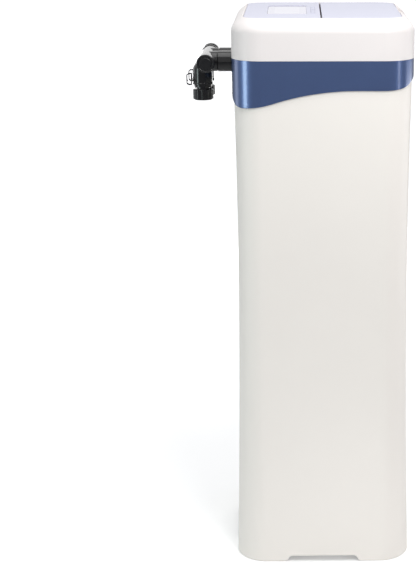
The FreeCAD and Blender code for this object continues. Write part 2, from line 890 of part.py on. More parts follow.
def top_cover():
    """White cover: upright side, rounded shoulder, ledge for the lids, gutter and hinge ears."""
    body = new_body("top_cover_solid")
    pad(body, "cover_side", outline(0.0), S.band_top, S.ridge_height)
    loft(body, "AdditiveLoft", "shoulder", shoulder_stations())
    pocket_down(body, "cover_inside", outline(S.cover_wall), S.ridge_height, S.band_top)
    loft(body, "SubtractiveLoft", "shoulder_inside", [
        (S.ridge_height, S.cover_wall),
        (LID_UNDER - S.ledge_thick, S.shoulder_inset - S.cover_wall),
    ], True)
    inner = LID_INSET + S.ledge_width
    pocket_down(body, "seat", outline(LID_INSET - S.lid_side_gap), S.top_height, LID_UNDER)
    pocket_down(body, "opening", outline(inner), LID_UNDER, S.ridge_height)
    skirt_web = S.band_top + S.skirt_thick
    skirt_outer = NECK_INNER + S.gap
    pad(body, "skirt_web", outline(S.cover_wall - OVER), S.band_top, skirt_web)
    pad(body, "skirt", outline(skirt_outer), S.band_top - S.skirt_drop, S.band_top)
    pocket_down(body, "skirt_bore", outline(skirt_outer + S.skirt_thick), skirt_web, S.band_top - S.skirt_drop)
    across = S.cover_width / 2 - LID_INSET + S.lid_side_gap + S.gutter_wall
    front, trough_back = -S.gutter_front, PANEL_FRONT + OVER
    gutter = rectangle((-across, across), (front, trough_back + S.gutter_wall))
    pad(body, "gutter", gutter, GUTTER_FLOOR, LID_UNDER)
    inside = across - S.gutter_wall
    pocket_down(body, "trough", rectangle((-inside, inside), (front + S.gutter_wall, trough_back)),
                LID_UNDER, GUTTER_FLOOR + S.gutter_wall)
    pocket_down(body, "gutter_lip", rectangle((-inside, inside), (front, trough_back)),
                LID_UNDER, S.top_height - S.gutter_lip_drop)
    corner_start = S.cover_depth / 2 - S.cover_corner
    notch = new_sketch(body, "notch_sketch", "XZ_Plane", -corner_start)
    draw(notch, rounded(S.rear_cut_half, S.rear_cut_rise, S.rear_cut_rise - OVER, S.band_top))
    feature(body, "Pocket", "rear_notch", notch)
    skirt_half = S.plate_half + S.gap
    skirt_gap = block("skirt_gap", (-skirt_half, skirt_half),
                      (PLATE_FRONT - S.skirt_thick, S.cover_depth / 2 - S.cover_wall),
                      (S.band_top - S.skirt_drop - OVER, S.plate_high + S.gap))
    cover = cut("cover_with_grip", fuse("cover_thickened", body, grip_seat()), skirt_gap, *grip_cuts())
    ears = [hinge_ear(index, x) for index, x in enumerate(ear_places())]
    pin_bores = pin_bore("cover_pin_bore")
    return keep("top_cover", cut("top_cover_bored", fuse("cover_and_ears", cover, *ears), pin_bores))


def shoulder_stations():
    """Heights and insets that the cover's rounded shoulder passes through."""
    return [
        (S.ridge_height, 0.0),
        (S.top_height - S.shoulder_mid_drop, S.shoulder_mid_inset),
        (S.top_height, S.shoulder_inset),
    ]


def grip_seat():
    """Local thickening under the finger grip, trimmed to the cover's outer form."""
    half = S.grip_width / 2 + S.cover_wall
    edge = S.cover_depth / 2 - LID_INSET
    low = S.top_height - S.grip_depth - S.cover_wall
    seat = block("grip_block", (-half, half), (-edge - S.grip_reach - S.cover_wall, S.ledge_width - edge),
                 (low, LID_UNDER))
    shape = new_body("grip_limit")
    loft(shape, "AdditiveLoft", "grip_limit_loft", shoulder_stations())
    return common("grip_seat", seat, shape)


def grip_cuts():
    """A shallow scoop in front of the lid's edge, wide enough for four fingers."""
    edge = S.cover_depth / 2 - LID_INSET
    half = S.grip_width / 2 - S.grip_reach
    low = S.top_height - S.grip_depth
    span = (-edge - S.grip_reach, S.grip_under - edge)
    scoop = block("grip_scoop", (-half, half), span, (low, S.top_height + OVER))
    ends = [rod(f"grip_end_{side}", S.grip_reach, S.grip_depth + OVER, (side * half, -edge, low))
            for side in (-1, 1)]
    return [scoop] + ends


def pin_bore(name):
    """A running bore for the hinge pins, from the outermost ear to the other one."""
    reach = S.hinge_spread + S.knuckle_width / 2 + S.gap + S.ear_width + OVER
    return rod(name, S.hinge_pin_radius + S.fit, reach * 2, (-reach, HINGE_Y, HINGE_Z), TO_X)


def ear_places():
    """Where each hinge ear starts along X: one on each side of each knuckle."""
    places = []
    for side in (-1, 1):
        middle = S.hinge_spread * side
        places.append(middle - S.knuckle_width / 2 - S.gap - S.ear_width)
        places.append(middle + S.knuckle_width / 2 + S.gap)
    return places


def hinge_ear(index, x):
    """An upright ear that holds the hinge pin, standing on the gutter's floor."""
    foot = GUTTER_FLOOR + S.gutter_wall - OVER
    boss = rod(f"ear_boss_{index}", S.knuckle_radius, S.ear_width, (x, HINGE_Y, HINGE_Z), TO_X)
    post = block(f"ear_post_{index}", (x, x + S.ear_width), (HINGE_Y - S.knuckle_radius, HINGE_Y + OVER),
                 (foot, HINGE_Z))
    return fuse(f"ear_{index}", boss, post)


def lid_outline(inset, straight, outward):
    """A lid's outline: straight at the split, rounded at its two outer corners."""
    half = S.cover_width / 2 - inset
    end = (S.cover_depth / 2 - inset) * outward
    corner = S.cover_corner - inset
    points = [
        (half, straight),
        (half, end - corner * outward),
        (half - corner, end, corner, outward),
        (corner - half, end),
        (-half, end - corner * outward, corner, outward),
        (-half, straight),
    ]
    return points


def front_lid():
    """Hinged front lid: a flat plate with two knuckles under its rear edge."""
    body = new_body("front_lid_plate")
    pad(body, "front_lid_pad", lid_outline(LID_INSET, FRONT_LID_BACK, -1), LID_UNDER, S.top_height)
    round_edges(body, "front_lid_round", S.lid_edge_round, lies_at_height(S.top_height))
    knuckles = []
    for side in (-1, 1):
        start = S.hinge_spread * side - S.knuckle_width / 2
        barrel = rod(f"knuckle_{side}", S.knuckle_radius, S.knuckle_width, (start, HINGE_Y, HINGE_Z), TO_X)
        web = block(f"knuckle_web_{side}", (start, start + S.knuckle_width),
                    (HINGE_Y - S.knuckle_radius, HINGE_Y + S.knuckle_radius), (HINGE_Z, LID_UNDER + OVER))
        knuckles += [barrel, web]
    return keep("front_lid", cut("front_lid_bored", fuse("front_lid_solid", body, *knuckles),
                                 pin_bore("lid_pin_bore")))


def lid_hinge_pins():
    """Two short steel pins, one through each knuckle and its two ears."""
    reach = S.knuckle_width / 2 + S.gap + S.ear_width
    pins = [rod(f"hinge_pin_{side}", S.hinge_pin_radius, reach * 2,
                (S.hinge_spread * side - reach, HINGE_Y, HINGE_Z), TO_X) for side in (-1, 1)]
    return keep("lid_hinge_pins", group("hinge_pins", *pins))


def button_spots():
    """The X of each push-button's middle."""
    return [S.button_pitch * (index - (len(BUTTON_NAMES) - 1) / 2) for index in range(len(BUTTON_NAMES))]


def window_outline(grow):
    """The display window's outline, grown all round."""
    return rounded(S.window_width / 2 + grow, S.window_depth / 2 + grow, S.window_corner + grow,
                   S.window_middle)


def button_outline(x, grow):
    """A push-button's outline about its own middle, grown all round."""
    points = rounded(S.button_width / 2 + grow, S.button_depth / 2 + grow, S.button_corner + grow,
                     S.button_middle)
    return [(point[0] + x,) + point[1:] for point in points]


def board_posts():
    """The four corners where the display board hangs from the control panel."""
    half = S.board_width / 2 - S.board_post_inset
    return [(x, y) for x in (-half, half)
            for y in (S.board_front + S.board_post_inset, S.board_rear - S.board_post_inset)]


def control_panel():
    """Fixed rear panel with the display window's recess, button holes and board posts."""
    body = new_body("control_panel_plate")
    pad(body, "panel_pad", lid_outline(LID_INSET, PANEL_FRONT, 1), LID_UNDER, S.top_height)
    round_edges(body, "panel_round", S.lid_edge_round, lies_at_height(S.top_height))
    seat = S.top_height - S.window_recess - S.window_thick
    pocket_down(body, "window_seat", window_outline(S.window_gap), S.top_height, seat)
    aperture = rounded(S.window_width / 2 - S.window_border, S.window_depth / 2 - S.window_border,
                       S.window_corner, S.window_middle)
    pocket_down(body, "window_hole", aperture, seat, LID_UNDER)
    for index, x in enumerate(button_spots()):
        pocket_down(body, f"button_hole_{index}", button_outline(x, S.button_gap), S.top_height, LID_UNDER)
    posts, bores = [], []
    for index, (x, y) in enumerate(board_posts()):
        posts.append(rod(f"board_post_{index}", S.board_post_radius, LID_UNDER - BOARD_TOP, (x, y, BOARD_TOP)))
        bores.append(rod(f"post_bore_{index}", S.board_screw_radius + S.fit, LID_UNDER - BOARD_TOP - OVER,
                         (x, y, BOARD_TOP)))
    return keep("control_panel", cut("control_panel_bored", fuse("control_panel_solid", body, *posts), *bores))


def display_window():
    """Clear window plate that lies in the panel's recess."""
    body = new_body("display_window_plate")
    low = S.top_height - S.window_recess - S.window_thick
    pad(body, "window_pad", window_outline(0.0), low, low + S.window_thick)
    return keep("display_window", body)


def push_button(index, name):
    """A push-button cap with a retaining flange under the panel and a stem over its switch."""
    body = new_body(f"{name}_solid")
    x = button_spots()[index]
    flange_top = LID_UNDER - S.gap
    wide = button_outline(x, S.button_gap + S.button_flange)
    pad(body, f"{name}_flange", wide, flange_top - S.button_flange, flange_top)
    pad(body, f"{name}_cap", button_outline(x, 0.0), flange_top, S.top_height + S.button_proud)
    switch_top = BOARD_TOP + S.switch_tall
    stem_low = switch_top + S.button_travel + S.slip
    stem_plane = new_sketch(body, f"{name}_stem_sketch", "XY_Plane", stem_low)
    stem = circle(stem_plane, S.button_stem, x, S.button_middle)
    feature(body, "Pad", f"{name}_stem", stem, flange_top - stem_low)
    round_edges(body, f"{name}_round", S.lid_edge_round / 2, lies_at_height(S.top_height + S.button_proud))
    return keep(name, body)


def display_board():
    """The circuit board that hangs from the panel's posts, with a soldered switch under each button."""
    half, edge = S.board_width / 2, S.switch_side / 2
    low = BOARD_TOP - S.board_thick
    plate = block("board_plate", (-half, half), (S.board_front, S.board_rear), (low, BOARD_TOP))
    row, tall = (S.button_middle - edge, S.button_middle + edge), (BOARD_TOP, BOARD_TOP + S.switch_tall)
    switches = [block(f"switch_{index}", (x - edge, x + edge), row, tall) for index, x in enumerate(button_spots())]
    holes = [rod(f"board_hole_{index}", S.board_screw_radius + S.fit, S.board_thick, (x, y, low))
             for index, (x, y) in enumerate(board_posts())]
    return keep("display_board", cut("display_board_solid", fuse("board_with_switches", plate, *switches), *holes))


def display_module():
    """The display block on the board, under the window."""
    half = S.display_width / 2
    span = (S.window_middle - S.display_depth / 2, S.window_middle + S.display_depth / 2)
    return keep("display_module", block("display_block", (-half, half), span, (BOARD_TOP, LID_UNDER - S.gap)))


def screw(name, radius, long, at, turn):
    """A pan-head screw; the point is the head's underside and the shank runs along the turned Z axis."""
    shank = rod(f"{name}_shank", radius, long, at, turn)
    back = turn.multVec(Vector(0, 0, -1))
    head_at = tuple(value + S.screw_head_tall * step for value, step in zip(at, back))
    head = rod(f"{name}_head", S.screw_head_radius, S.screw_head_tall, head_at, turn)
    return fuse(name, shank, head)


def board_screws():
    """Four screws that hold the board up to its posts."""
    low = BOARD_TOP - S.board_thick
    long = S.board_thick + (LID_UNDER - BOARD_TOP) / 2
    screws = [screw(f"board_screw_{index}", S.board_screw_radius, long, (x, y, low), TO_Z)
              for index, (x, y) in enumerate(board_posts())]
    return keep("board_screws", group("board_screw_set", *screws))


def rear_port_plate():
    """Plate inside the neck that closes the rear opening round the ports, drain and power socket."""
    plate = block("port_plate_blank", (-S.plate_half, S.plate_half), (PLATE_FRONT, PLATE_BACK),
                  (S.plate_low, S.plate_high))
    start = PLATE_FRONT - OVER
    long = S.plate_thick + OVER * 2
    holes = [rod(f"port_hole_{name}", S.port_thread_radius + S.gap, long,
                 (S.port_spread * side, start, S.port_height), TO_Y) for name, side in PORT_SIDES.items()]
    holes.append(rod("drain_hole", S.drain_radius + S.fit, long, (S.drain_x, start, S.drain_z), TO_Y))
    holes.append(rod("socket_hole", S.socket_radius + S.fit, long, (-S.socket_x, start, S.socket_z), TO_Y))
    holes += [rod(f"plate_hole_{index}", S.screw_radius + S.fit, long, (x, start, z), TO_Y)
              for index, (x, z) in enumerate(plate_screw_spots())]
    return keep("rear_port_plate", cut("rear_port_plate_solid", plate, *holes))


def port_plate_screws():
    """Four screws from inside through the plate into the neck."""
    screws = [screw(f"plate_screw_{index}", S.screw_radius, S.plate_screw_long, (x, PLATE_FRONT, z), TO_Y)
              for index, (x, z) in enumerate(plate_screw_spots())]
    return keep("port_plate_screws", group("plate_screw_set", *screws))


def power_socket():
    """Low-voltage socket for the mains adapter, with its rim on the outside of the plate."""
    x, z = -S.socket_x, S.socket_z
    case = rod("socket_case", S.socket_radius, S.socket_long, (x, PLATE_BACK - S.socket_long, z), TO_Y)
    rim = rod("socket_rim", S.socket_rim, S.socket_rim_thick, (x, PLATE_BACK, z), TO_Y)
    hole = rod("socket_bore", S.socket_radius / 2, S.socket_long, (x, PLATE_BACK - S.socket_long / 2, z), TO_Y)
    return keep("power_socket", cut("power_socket_solid", fuse("socket_whole", case, rim), hole))


# Pressure vessel and what it holds

VESSEL_AT = (0.0, S.vessel_back, 0.0)


def dome(inset, side_height, way):
    """Where a dome's crown and bend meet, for a wall drawn in by an inset; way is 1 for the top dome."""
    share = (S.crown_radius - inset) / CROWN_CENTRE
    centre = side_height - DOME_SHIFT * way
    return BEND_CENTRE * share, centre + DOME_SHIFT * share * way


def crown_height(inset, side_height, way, radius):
    """The height of a dome's crown at a radius."""
    sphere = S.crown_radius - inset
    return side_height - DOME_SHIFT * way + root(sphere * sphere - radius * radius) * way


def pressure_vessel():
    """Wound pressure vessel with shallow domes and a threaded neck."""
    wall = S.vessel_wall
    outer_bend, inner_bend = S.knuckle_bend, S.knuckle_bend - wall
    outer_crown, inner_crown = S.crown_radius, S.crown_radius - wall
    return keep("pressure_vessel", turned("pressure_vessel", [
        (0.0, VESSEL_BOTTOM),
        dome(0.0, SIDE_START, -1) + (outer_crown, 1),
        (S.vessel_radius, SIDE_START, outer_bend, 1),
        (S.vessel_radius, SIDE_END),
        dome(0.0, SIDE_END, 1) + (outer_bend, 1),
        (S.neck_radius, crown_height(0.0, SIDE_END, 1, S.neck_radius), outer_crown, 1),
        (S.neck_radius, S.vessel_top),
        (S.neck_bore, S.vessel_top),
        (S.neck_bore, crown_height(wall, SIDE_END, 1, S.neck_bore)),
        dome(wall, SIDE_END, 1) + (inner_crown, -1),
        (S.vessel_radius - wall, SIDE_END, inner_bend, -1),
        (S.vessel_radius - wall, SIDE_START),
        dome(wall, SIDE_START, -1) + (inner_bend, -1),
        (0.0, VESSEL_BOTTOM + wall, inner_crown, -1),
    ], VESSEL_AT))


def vessel_boot():
    """Ring foot with a curved seat that the vessel's lower dome stands in."""
    inner = S.boot_radius - S.boot_wall
    bend = S.knuckle_bend + S.gap

    def seat_height(radius):
        """The height of the curved seat at a radius."""
        out = radius - BEND_CENTRE
        return SIDE_START - root(bend * bend - out * out)

    return keep("vessel_boot", turned("vessel_boot", [
        (inner, S.floor_height),
        (S.boot_radius, S.floor_height),
        (S.boot_radius, seat_height(S.boot_radius)),
        (inner, seat_height(inner), bend, -1),
    ], VESSEL_AT))


STRAINER_LOW = crown_height(S.vessel_wall, SIDE_START, -1, S.strainer_radius) + S.gap
STRAINER_TOP = STRAINER_LOW + S.strainer_tall


def gravel_bed():
    """Support gravel that fills the lower dome round the strainer."""
    inset = S.vessel_wall + S.gap
    hole = S.strainer_radius + S.gap
    around_riser = S.riser_radius + S.gap
    return keep("gravel_bed", turned("gravel_bed", [
        (hole, crown_height(inset, SIDE_START, -1, hole)),
        dome(inset, SIDE_START, -1) + (S.crown_radius - inset, 1),
        (S.vessel_radius - inset, SIDE_START, S.knuckle_bend - inset, 1),
        (S.vessel_radius - inset, S.gravel_top),
        (around_riser, S.gravel_top),
        (around_riser, STRAINER_TOP + S.gap),
        (hole, STRAINER_TOP + S.gap),
    ], VESSEL_AT))


def carbon_bed():
    """Granular activated carbon, filled to about two thirds of the vessel."""
    outer = S.vessel_radius - S.vessel_wall - S.gap
    bed = tube("carbon_fill", outer, S.riser_radius + S.gap, S.carbon_top - S.gravel_top,
               (0.0, S.vessel_back, S.gravel_top))
    return keep("carbon_bed", bed)


def riser_tube():
    """Central tube from the bottom strainer up into the valve."""
    low = STRAINER_LOW + S.strainer_wall + S.gap
    return keep("riser_tube", tube("riser", S.riser_radius, S.riser_bore, S.riser_top - S.gap - low,
                                   (0.0, S.vessel_back, low)))


def polar(body, name, source, count):
    """Repeat a feature round the body's own Z axis."""
    axis = [item for item in body.Origin.OriginFeatures if item.Role == "Z_Axis"][0]
    pattern = body.newObject("PartDesign::PolarPattern", name)
    pattern.Originals = [source]
    pattern.Axis = (axis, [""])
    pattern.Angle = WHOLE_TURN
    bind(pattern, "Occurrences", count)
    body.Tip = pattern
    return pattern


def slotted_basket(node, outer, wall, low, tall, hole, slots):
    """A round basket with upright slots, open below the lid round the riser."""
    body = turned(node, [
        (0.0, low),
        (outer, low),
        (outer, low + tall),
        (hole, low + tall),
        (hole, low + tall - wall * 2),
        (outer - wall, low + tall - wall * 2),
        (outer - wall, low + wall),
        (0.0, low + wall),
    ], VESSEL_AT)
    slot = new_sketch(body, f"{node}_slot", "XZ_Plane")
    half = S.strainer_slot / 2
    draw(slot, rectangle((-half, half), (low + wall * 2, low + tall - wall * 3)))
    polar(body, f"{node}_slots", feature(body, "Pocket", f"{node}_slot_cut", slot), slots)
    return keep(node, body)


def bottom_strainer():
    """Slotted strainer on the riser's lower end."""
    return slotted_basket("bottom_strainer", S.strainer_radius, S.strainer_wall, STRAINER_LOW,
                          S.strainer_tall, S.riser_radius + S.fit, S.strainer_slots)


def top_strainer():
    """Slotted ring round the riser under the valve, which keeps the carbon in."""
    low = S.vessel_top - S.valve_plug_deep - S.basket_tall
    hole = S.riser_radius + S.fit
    wall = S.strainer_wall
    body = turned("top_strainer", [
        (hole, low),
        (S.basket_radius, low),
        (S.basket_radius, low + S.basket_tall),
        (S.basket_radius - wall, low + S.basket_tall),
        (S.basket_radius - wall, low + wall),
        (hole, low + wall),
    ], VESSEL_AT)
    slot = new_sketch(body, "top_slot", "XZ_Plane")
    half = S.strainer_slot / 2
    draw(slot, rectangle((-half, half), (low + wall * 2, low + S.basket_tall - wall)))
    polar(body, "top_slots", feature(body, "Pocket", "top_slot_cut", slot), S.strainer_slots)
    return keep("top_strainer", body)


def neck_seal():
    """O-ring between the vessel's neck and the valve's collar."""
    at = (0.0, S.vessel_back, S.vessel_top - S.neck_seal_drop)
    return keep("neck_seal", ring("neck_seal_ring", S.neck_bore - S.seal_radius - S.fit, S.seal_radius, at))


# Control valve

PLUG_RADIUS = S.neck_bore - S.slip
DISC_RADIUS = S.chamber_radius - S.disc_clear
RISER_SOCKET = S.riser_radius + S.fit


def groove_points(wall, bottom, height, wire):
    """Four points of a square groove for a seal, going up the section."""
    half = wire + S.slip
    return [(wall, height - half), (bottom, height - half), (bottom, height + half), (wall, height + half)]


def disc_hole_spots():
    """Where the valve's passages meet the discs: inlet, vessel, outlet and drain round the riser's."""
    out = S.disc_hole_out
    back = S.vessel_back
    return {"riser": (0.0, back), "inlet": (out, back), "vessel": (0.0, back + out),
            "outlet": (-out, back), "drain": (0.0, back - out)}


def bonnet_screw_spots():
    """Where the six long screws stand round the bonnet."""
    count = SIZES["bonnet_screws"]
    angles = [math.radians(WHOLE_TURN / count * (index + 0.5)) for index in range(count)]
    return [(S.bonnet_screw_circle * math.cos(angle), S.vessel_back + S.bonnet_screw_circle * math.sin(angle))
            for angle in angles]


def valve_body():
    """Valve body: threaded plug, collar, trunk with the disc chamber, two ports and the drain boss."""
    neck_groove = groove_points(PLUG_RADIUS, S.neck_bore - S.seal_radius * 2 - S.slip,
                                S.vessel_top - S.neck_seal_drop, S.seal_radius)
    riser_groove = groove_points(RISER_SOCKET, S.riser_radius + S.riser_seal_radius * 2 + S.slip,
                                 S.riser_seal_height, S.riser_seal_radius)
    plug_low = S.vessel_top - S.valve_plug_deep
    trunk = turned("valve_trunk", [
        (S.annulus_radius, plug_low),
        (PLUG_RADIUS, plug_low),
    ] + neck_groove + [
        (PLUG_RADIUS, S.vessel_top),
        (S.collar_radius, S.vessel_top),
        (S.collar_radius, TRUNK_BASE),
        (S.trunk_radius, TRUNK_BASE),
        (S.trunk_radius, S.trunk_top),
        (S.disc_hole, S.trunk_top),
        (S.disc_hole, S.riser_top),
        (RISER_SOCKET, S.riser_top),
    ] + riser_groove[::-1] + [
        (RISER_SOCKET, S.annulus_top),
        (S.annulus_radius, S.annulus_top),
    ], VESSEL_AT)
    added, removed = [], []
    for name, side in PORT_SIDES.items():
        x = S.port_spread * side
        added.append(rod(f"port_{name}", S.port_radius, S.port_end - S.port_start,
                         (x, S.port_start, S.port_height), TO_Y))
        thread_start = S.port_end - S.port_thread_long
        added.append(rod(f"port_thread_{name}", S.port_thread_radius, S.port_thread_long,
                         (x, thread_start, S.port_height), TO_Y))
        removed.append(rod(f"port_bore_{name}", S.port_bore, S.port_end - S.port_bore_start + OVER,
                           (x, S.port_bore_start, S.port_height), TO_Y))
    half = S.sensor_side / 2
    x = S.port_spread * PORT_SIDES["outlet"]
    added.append(block("sensor_seat", (x - half, x + half), (S.turbine_at - half, S.turbine_at + half),
                       (S.port_height + S.port_bore + OVER, S.sensor_seat)))
    added.append(rod("drain_boss", S.drain_boss_radius, S.drain_boss_end, (0.0, S.drain_y, S.drain_z), TO_X))
    removed.append(rod("drain_socket", S.drain_radius + S.fit, S.drain_boss_end - S.drain_root + OVER,
                       (S.drain_root, S.drain_y, S.drain_z), TO_X))
    removed.append(rod("drain_way", S.drain_bore, S.drain_root + OVER, (0.0, S.drain_y, S.drain_z), TO_X))
    removed.append(rod("chamber", S.chamber_radius, S.chamber_deep + OVER,
                       (0.0, S.vessel_back, CHAMBER_FLOOR)))
    passage_low = {"inlet": S.port_height, "outlet": S.port_height, "drain": S.drain_z,
                   "vessel": S.annulus_top - OVER}
    for name, (x, y) in disc_hole_spots().items():
        if name in passage_low:
            low = passage_low[name]
            removed.append(rod(f"passage_{name}", S.disc_hole, CHAMBER_FLOOR - low + OVER, (x, y, low)))
    tip = DRIVE_PLATE_TOP - S.screw_long
    deep = S.trunk_top - tip + OVER
    removed += [rod(f"trunk_screw_hole_{index}", S.screw_radius + S.fit, deep, (x, y, tip))
                for index, (x, y) in enumerate(bonnet_screw_spots())]
    return keep("valve_body", cut("valve_body_solid", fuse("valve_body_whole", trunk, *added), *removed))


def riser_seal():
    """O-ring between the riser and the valve."""
    at = (0.0, S.vessel_back, S.riser_seal_height)
    return keep("riser_seal", ring("riser_seal_ring", S.riser_radius + S.riser_seal_radius + S.fit,
                                   S.riser_seal_radius, at))


def disc_plate(node, radius, low, thick):
    """A round plate with the five passage holes."""
    plate = rod(f"{node}_plate", radius, thick, (0.0, S.vessel_back, low))
    holes = [rod(f"{node}_hole_{name}", S.disc_hole, thick, (x, y, low))
             for name, (x, y) in disc_hole_spots().items()]
    return cut(f"{node}_drilled", plate, *holes)


def disc_seal():
    """Rubber seal under the fixed disc."""
    return keep("disc_seal", disc_plate("disc_seal", DISC_RADIUS, CHAMBER_FLOOR, S.disc_seal_thick))


def fixed_disc():
    """Fixed ceramic disc with the five ports."""
    return keep("fixed_disc", disc_plate("fixed_disc", DISC_RADIUS, FIXED_DISC_LOW, S.disc_thick))


def moving_disc():
    """Ceramic disc that turns over the fixed one, with two recesses that join its ports in pairs."""
    back = S.vessel_back
    out, hole = S.disc_hole_out, S.disc_hole
    plate = rod("moving_plate", DISC_RADIUS, S.disc_thick, (0.0, back, MOVING_DISC_LOW))
    straight = block("straight_recess", (-out - hole, hole), (back - hole, back + hole),
                     (MOVING_DISC_LOW, MOVING_DISC_LOW + S.disc_recess))
    curved = common("curved_recess",
                    tube("recess_ring", out + hole, out - hole, S.disc_recess, (0.0, back, MOVING_DISC_LOW)),
                    block("recess_quarter", (-hole, out + hole), (back - hole, back + out + hole),
                          (MOVING_DISC_LOW, MOVING_DISC_LOW + S.disc_recess)))
    pins = [rod(f"dog_hole_{side}", S.dog_pin_radius + S.fit, S.dog_pin_long + S.slip,
                (0.0, back + S.dog_pin_out * side, DOG_LOW - S.dog_pin_long - S.slip)) for side in (-1, 1)]
    return keep("moving_disc", cut("moving_disc_solid", plate, straight, curved, *pins))


def drive_shaft():
    """Shaft with a dog plate that turns the moving disc."""
    at = (0.0, S.vessel_back, DOG_LOW)
    dog = rod("dog_plate", S.dog_radius, S.dog_thick, at)
    stem_top = GEAR_LOW + S.gear_thick + S.shaft_end
    stem = rod("shaft_stem", S.shaft_radius, stem_top - DOG_LOW, at)
    collar_low = DRIVE_PLATE_TOP + S.gap
    collar = rod("shaft_collar", S.shaft_collar, GEAR_LOW - collar_low, (0.0, S.vessel_back, collar_low))
    pins = [rod(f"dog_pin_{side}", S.dog_pin_radius, S.dog_pin_long,
                (0.0, S.vessel_back + S.dog_pin_out * side, DOG_LOW - S.dog_pin_long)) for side in (-1, 1)]
    return keep("drive_shaft", fuse("drive_shaft_solid", dog, stem, collar, *pins))


def bonnet():
    """Cap over the disc chamber with the shaft's seal groove and the screw holes."""
    inner = S.shaft_radius + S.fit
    seal_groove = groove_points(inner, S.shaft_radius + S.seal_radius * 2 + S.slip, S.shaft_seal_height,
                                S.seal_radius)
    body = turned("bonnet", [
        (S.chamber_radius, S.trunk_top),
        (S.bonnet_radius, S.trunk_top),
        (S.bonnet_radius, BONNET_TOP),
        (inner, BONNET_TOP),
    ] + seal_groove[::-1] + [
        (inner, S.trunk_top + S.bonnet_recess),
        (S.chamber_radius, S.trunk_top + S.bonnet_recess),
    ], VESSEL_AT)
    holes = [rod(f"bonnet_hole_{index}", S.screw_radius + S.fit, S.bonnet_thick, (x, y, S.trunk_top))
             for index, (x, y) in enumerate(bonnet_screw_spots())]
    return keep("bonnet", cut("bonnet_drilled", body, *holes))


def shaft_seal():
    """O-ring round the drive shaft, in the bonnet."""
    at = (0.0, S.vessel_back, S.shaft_seal_height)
    middle = S.shaft_radius + S.seal_radius + S.fit
    return keep("shaft_seal", ring("shaft_seal_ring", middle, S.seal_radius, at))


def bonnet_screws():
    """Six long screws that hold the drive bracket and the bonnet to the trunk."""
    screws = [screw(f"bonnet_screw_{index}", S.screw_radius, S.screw_long, (x, y, DRIVE_PLATE_TOP), TO_DOWN)
              for index, (x, y) in enumerate(bonnet_screw_spots())]
    return keep("bonnet_screws", group("bonnet_screw_set", *screws))


# Drive

DRIVE_FRONT = MOTOR_Y - S.drive_plate_front
DRIVE_BACK = S.vessel_back + S.drive_plate_half


def drive_outline(inset):
    """The drive bracket's outline, drawn in by an inset."""
    return rounded(S.drive_plate_half - inset, (DRIVE_BACK - DRIVE_FRONT) / 2 - inset,
                   S.drive_plate_corner - inset, (DRIVE_FRONT + DRIVE_BACK) / 2)


def drive_bracket():
    """Plate on the bonnet that carries the motor and the gears."""
    body = new_body("drive_bracket_plate")
    pad(body, "bracket_pad", drive_outline(0.0), BONNET_TOP, DRIVE_PLATE_TOP)
    holes = [rod(f"bracket_hole_{index}", S.screw_radius + S.fit, S.drive_plate_thick, (x, y, BONNET_TOP))
             for index, (x, y) in enumerate(bonnet_screw_spots())]
    holes.append(rod("bracket_shaft_hole", S.shaft_radius + S.gap, S.drive_plate_thick,
                     (0.0, S.vessel_back, BONNET_TOP)))
    holes.append(rod("bracket_motor_hole", S.motor_shaft + S.gap, S.drive_plate_thick,
                     (0.0, MOTOR_Y, BONNET_TOP)))
    return keep("drive_bracket", cut("drive_bracket_drilled", body, *holes))


def drive_motor():
    """Geared motor that hangs under the bracket."""
    case = rod("motor_case", S.motor_radius, S.motor_tall, (0.0, MOTOR_Y, BONNET_TOP - S.motor_tall))
    deep = S.motor_shaft_deep + S.slip
    bore = rod("motor_bore", S.motor_shaft + S.fit, deep, (0.0, MOTOR_Y, BONNET_TOP - deep))
    return keep("drive_motor", cut("drive_motor_solid", case, bore))


def gear_points(teeth, first_angle, centre_y, z):
    """The outline of an involute gear, tooth by tooth; one tooth is centred on the first angle."""
    module = SIZES["gear_module"]
    pitch_radius = module * teeth / 2
    base_radius = pitch_radius * math.cos(PRESSURE_ANGLE)
    low, high = pitch_radius - ROOT_DEPTH * module, pitch_radius + module
    start = max(low, base_radius)

    def half_angle(radius):
        """Half a tooth's angle at a radius."""
        flank = math.acos(min(base_radius / radius, 1.0))
        spread = math.tan(PRESSURE_ANGLE) - PRESSURE_ANGLE - math.tan(flank) + flank
        return math.pi / (2 * teeth) + spread - SIZES["gear_backlash"] / (4 * pitch_radius)

    radii = [start + (high - start) * step / FLANK_STEPS for step in range(FLANK_STEPS + 1)]
    rise = [(low, half_angle(start))] * (low < start) + [(radius, half_angle(radius)) for radius in radii]
    points = []
    for tooth in range(teeth):
        middle = first_angle + 2 * math.pi * tooth / teeth
        for radius, half in rise:
            points.append((radius, middle - half))
        for radius, half in reversed(rise):
            points.append((radius, middle + half))
    return [Vector(radius * math.cos(angle), centre_y + radius * math.sin(angle), z)
            for radius, angle in points]


def gear_solid(name, teeth, first_angle, centre_y):
    """A toothed wheel as a plain solid, since its flanks come from the involute's formula."""
    points = gear_points(teeth, first_angle, float(centre_y), float(GEAR_LOW))
    face = Part.Face(Part.makePolygon(points + points[:1]))
    thing = doc.addObject("Part::Feature", name)
    thing.Shape = face.extrude(Vector(0, 0, SIZES["gear_thick"]))
    return thing


def drive_gear():
    """The large gear on the drive shaft."""
    wheel = gear_solid("drive_gear_wheel", SIZES["gear_teeth"], -math.pi / 2, S.vessel_back)
    bore = rod("drive_gear_bore", S.shaft_radius + S.fit, S.gear_thick, (0.0, S.vessel_back, GEAR_LOW))
    return keep("drive_gear", cut("drive_gear_solid", wheel, bore))


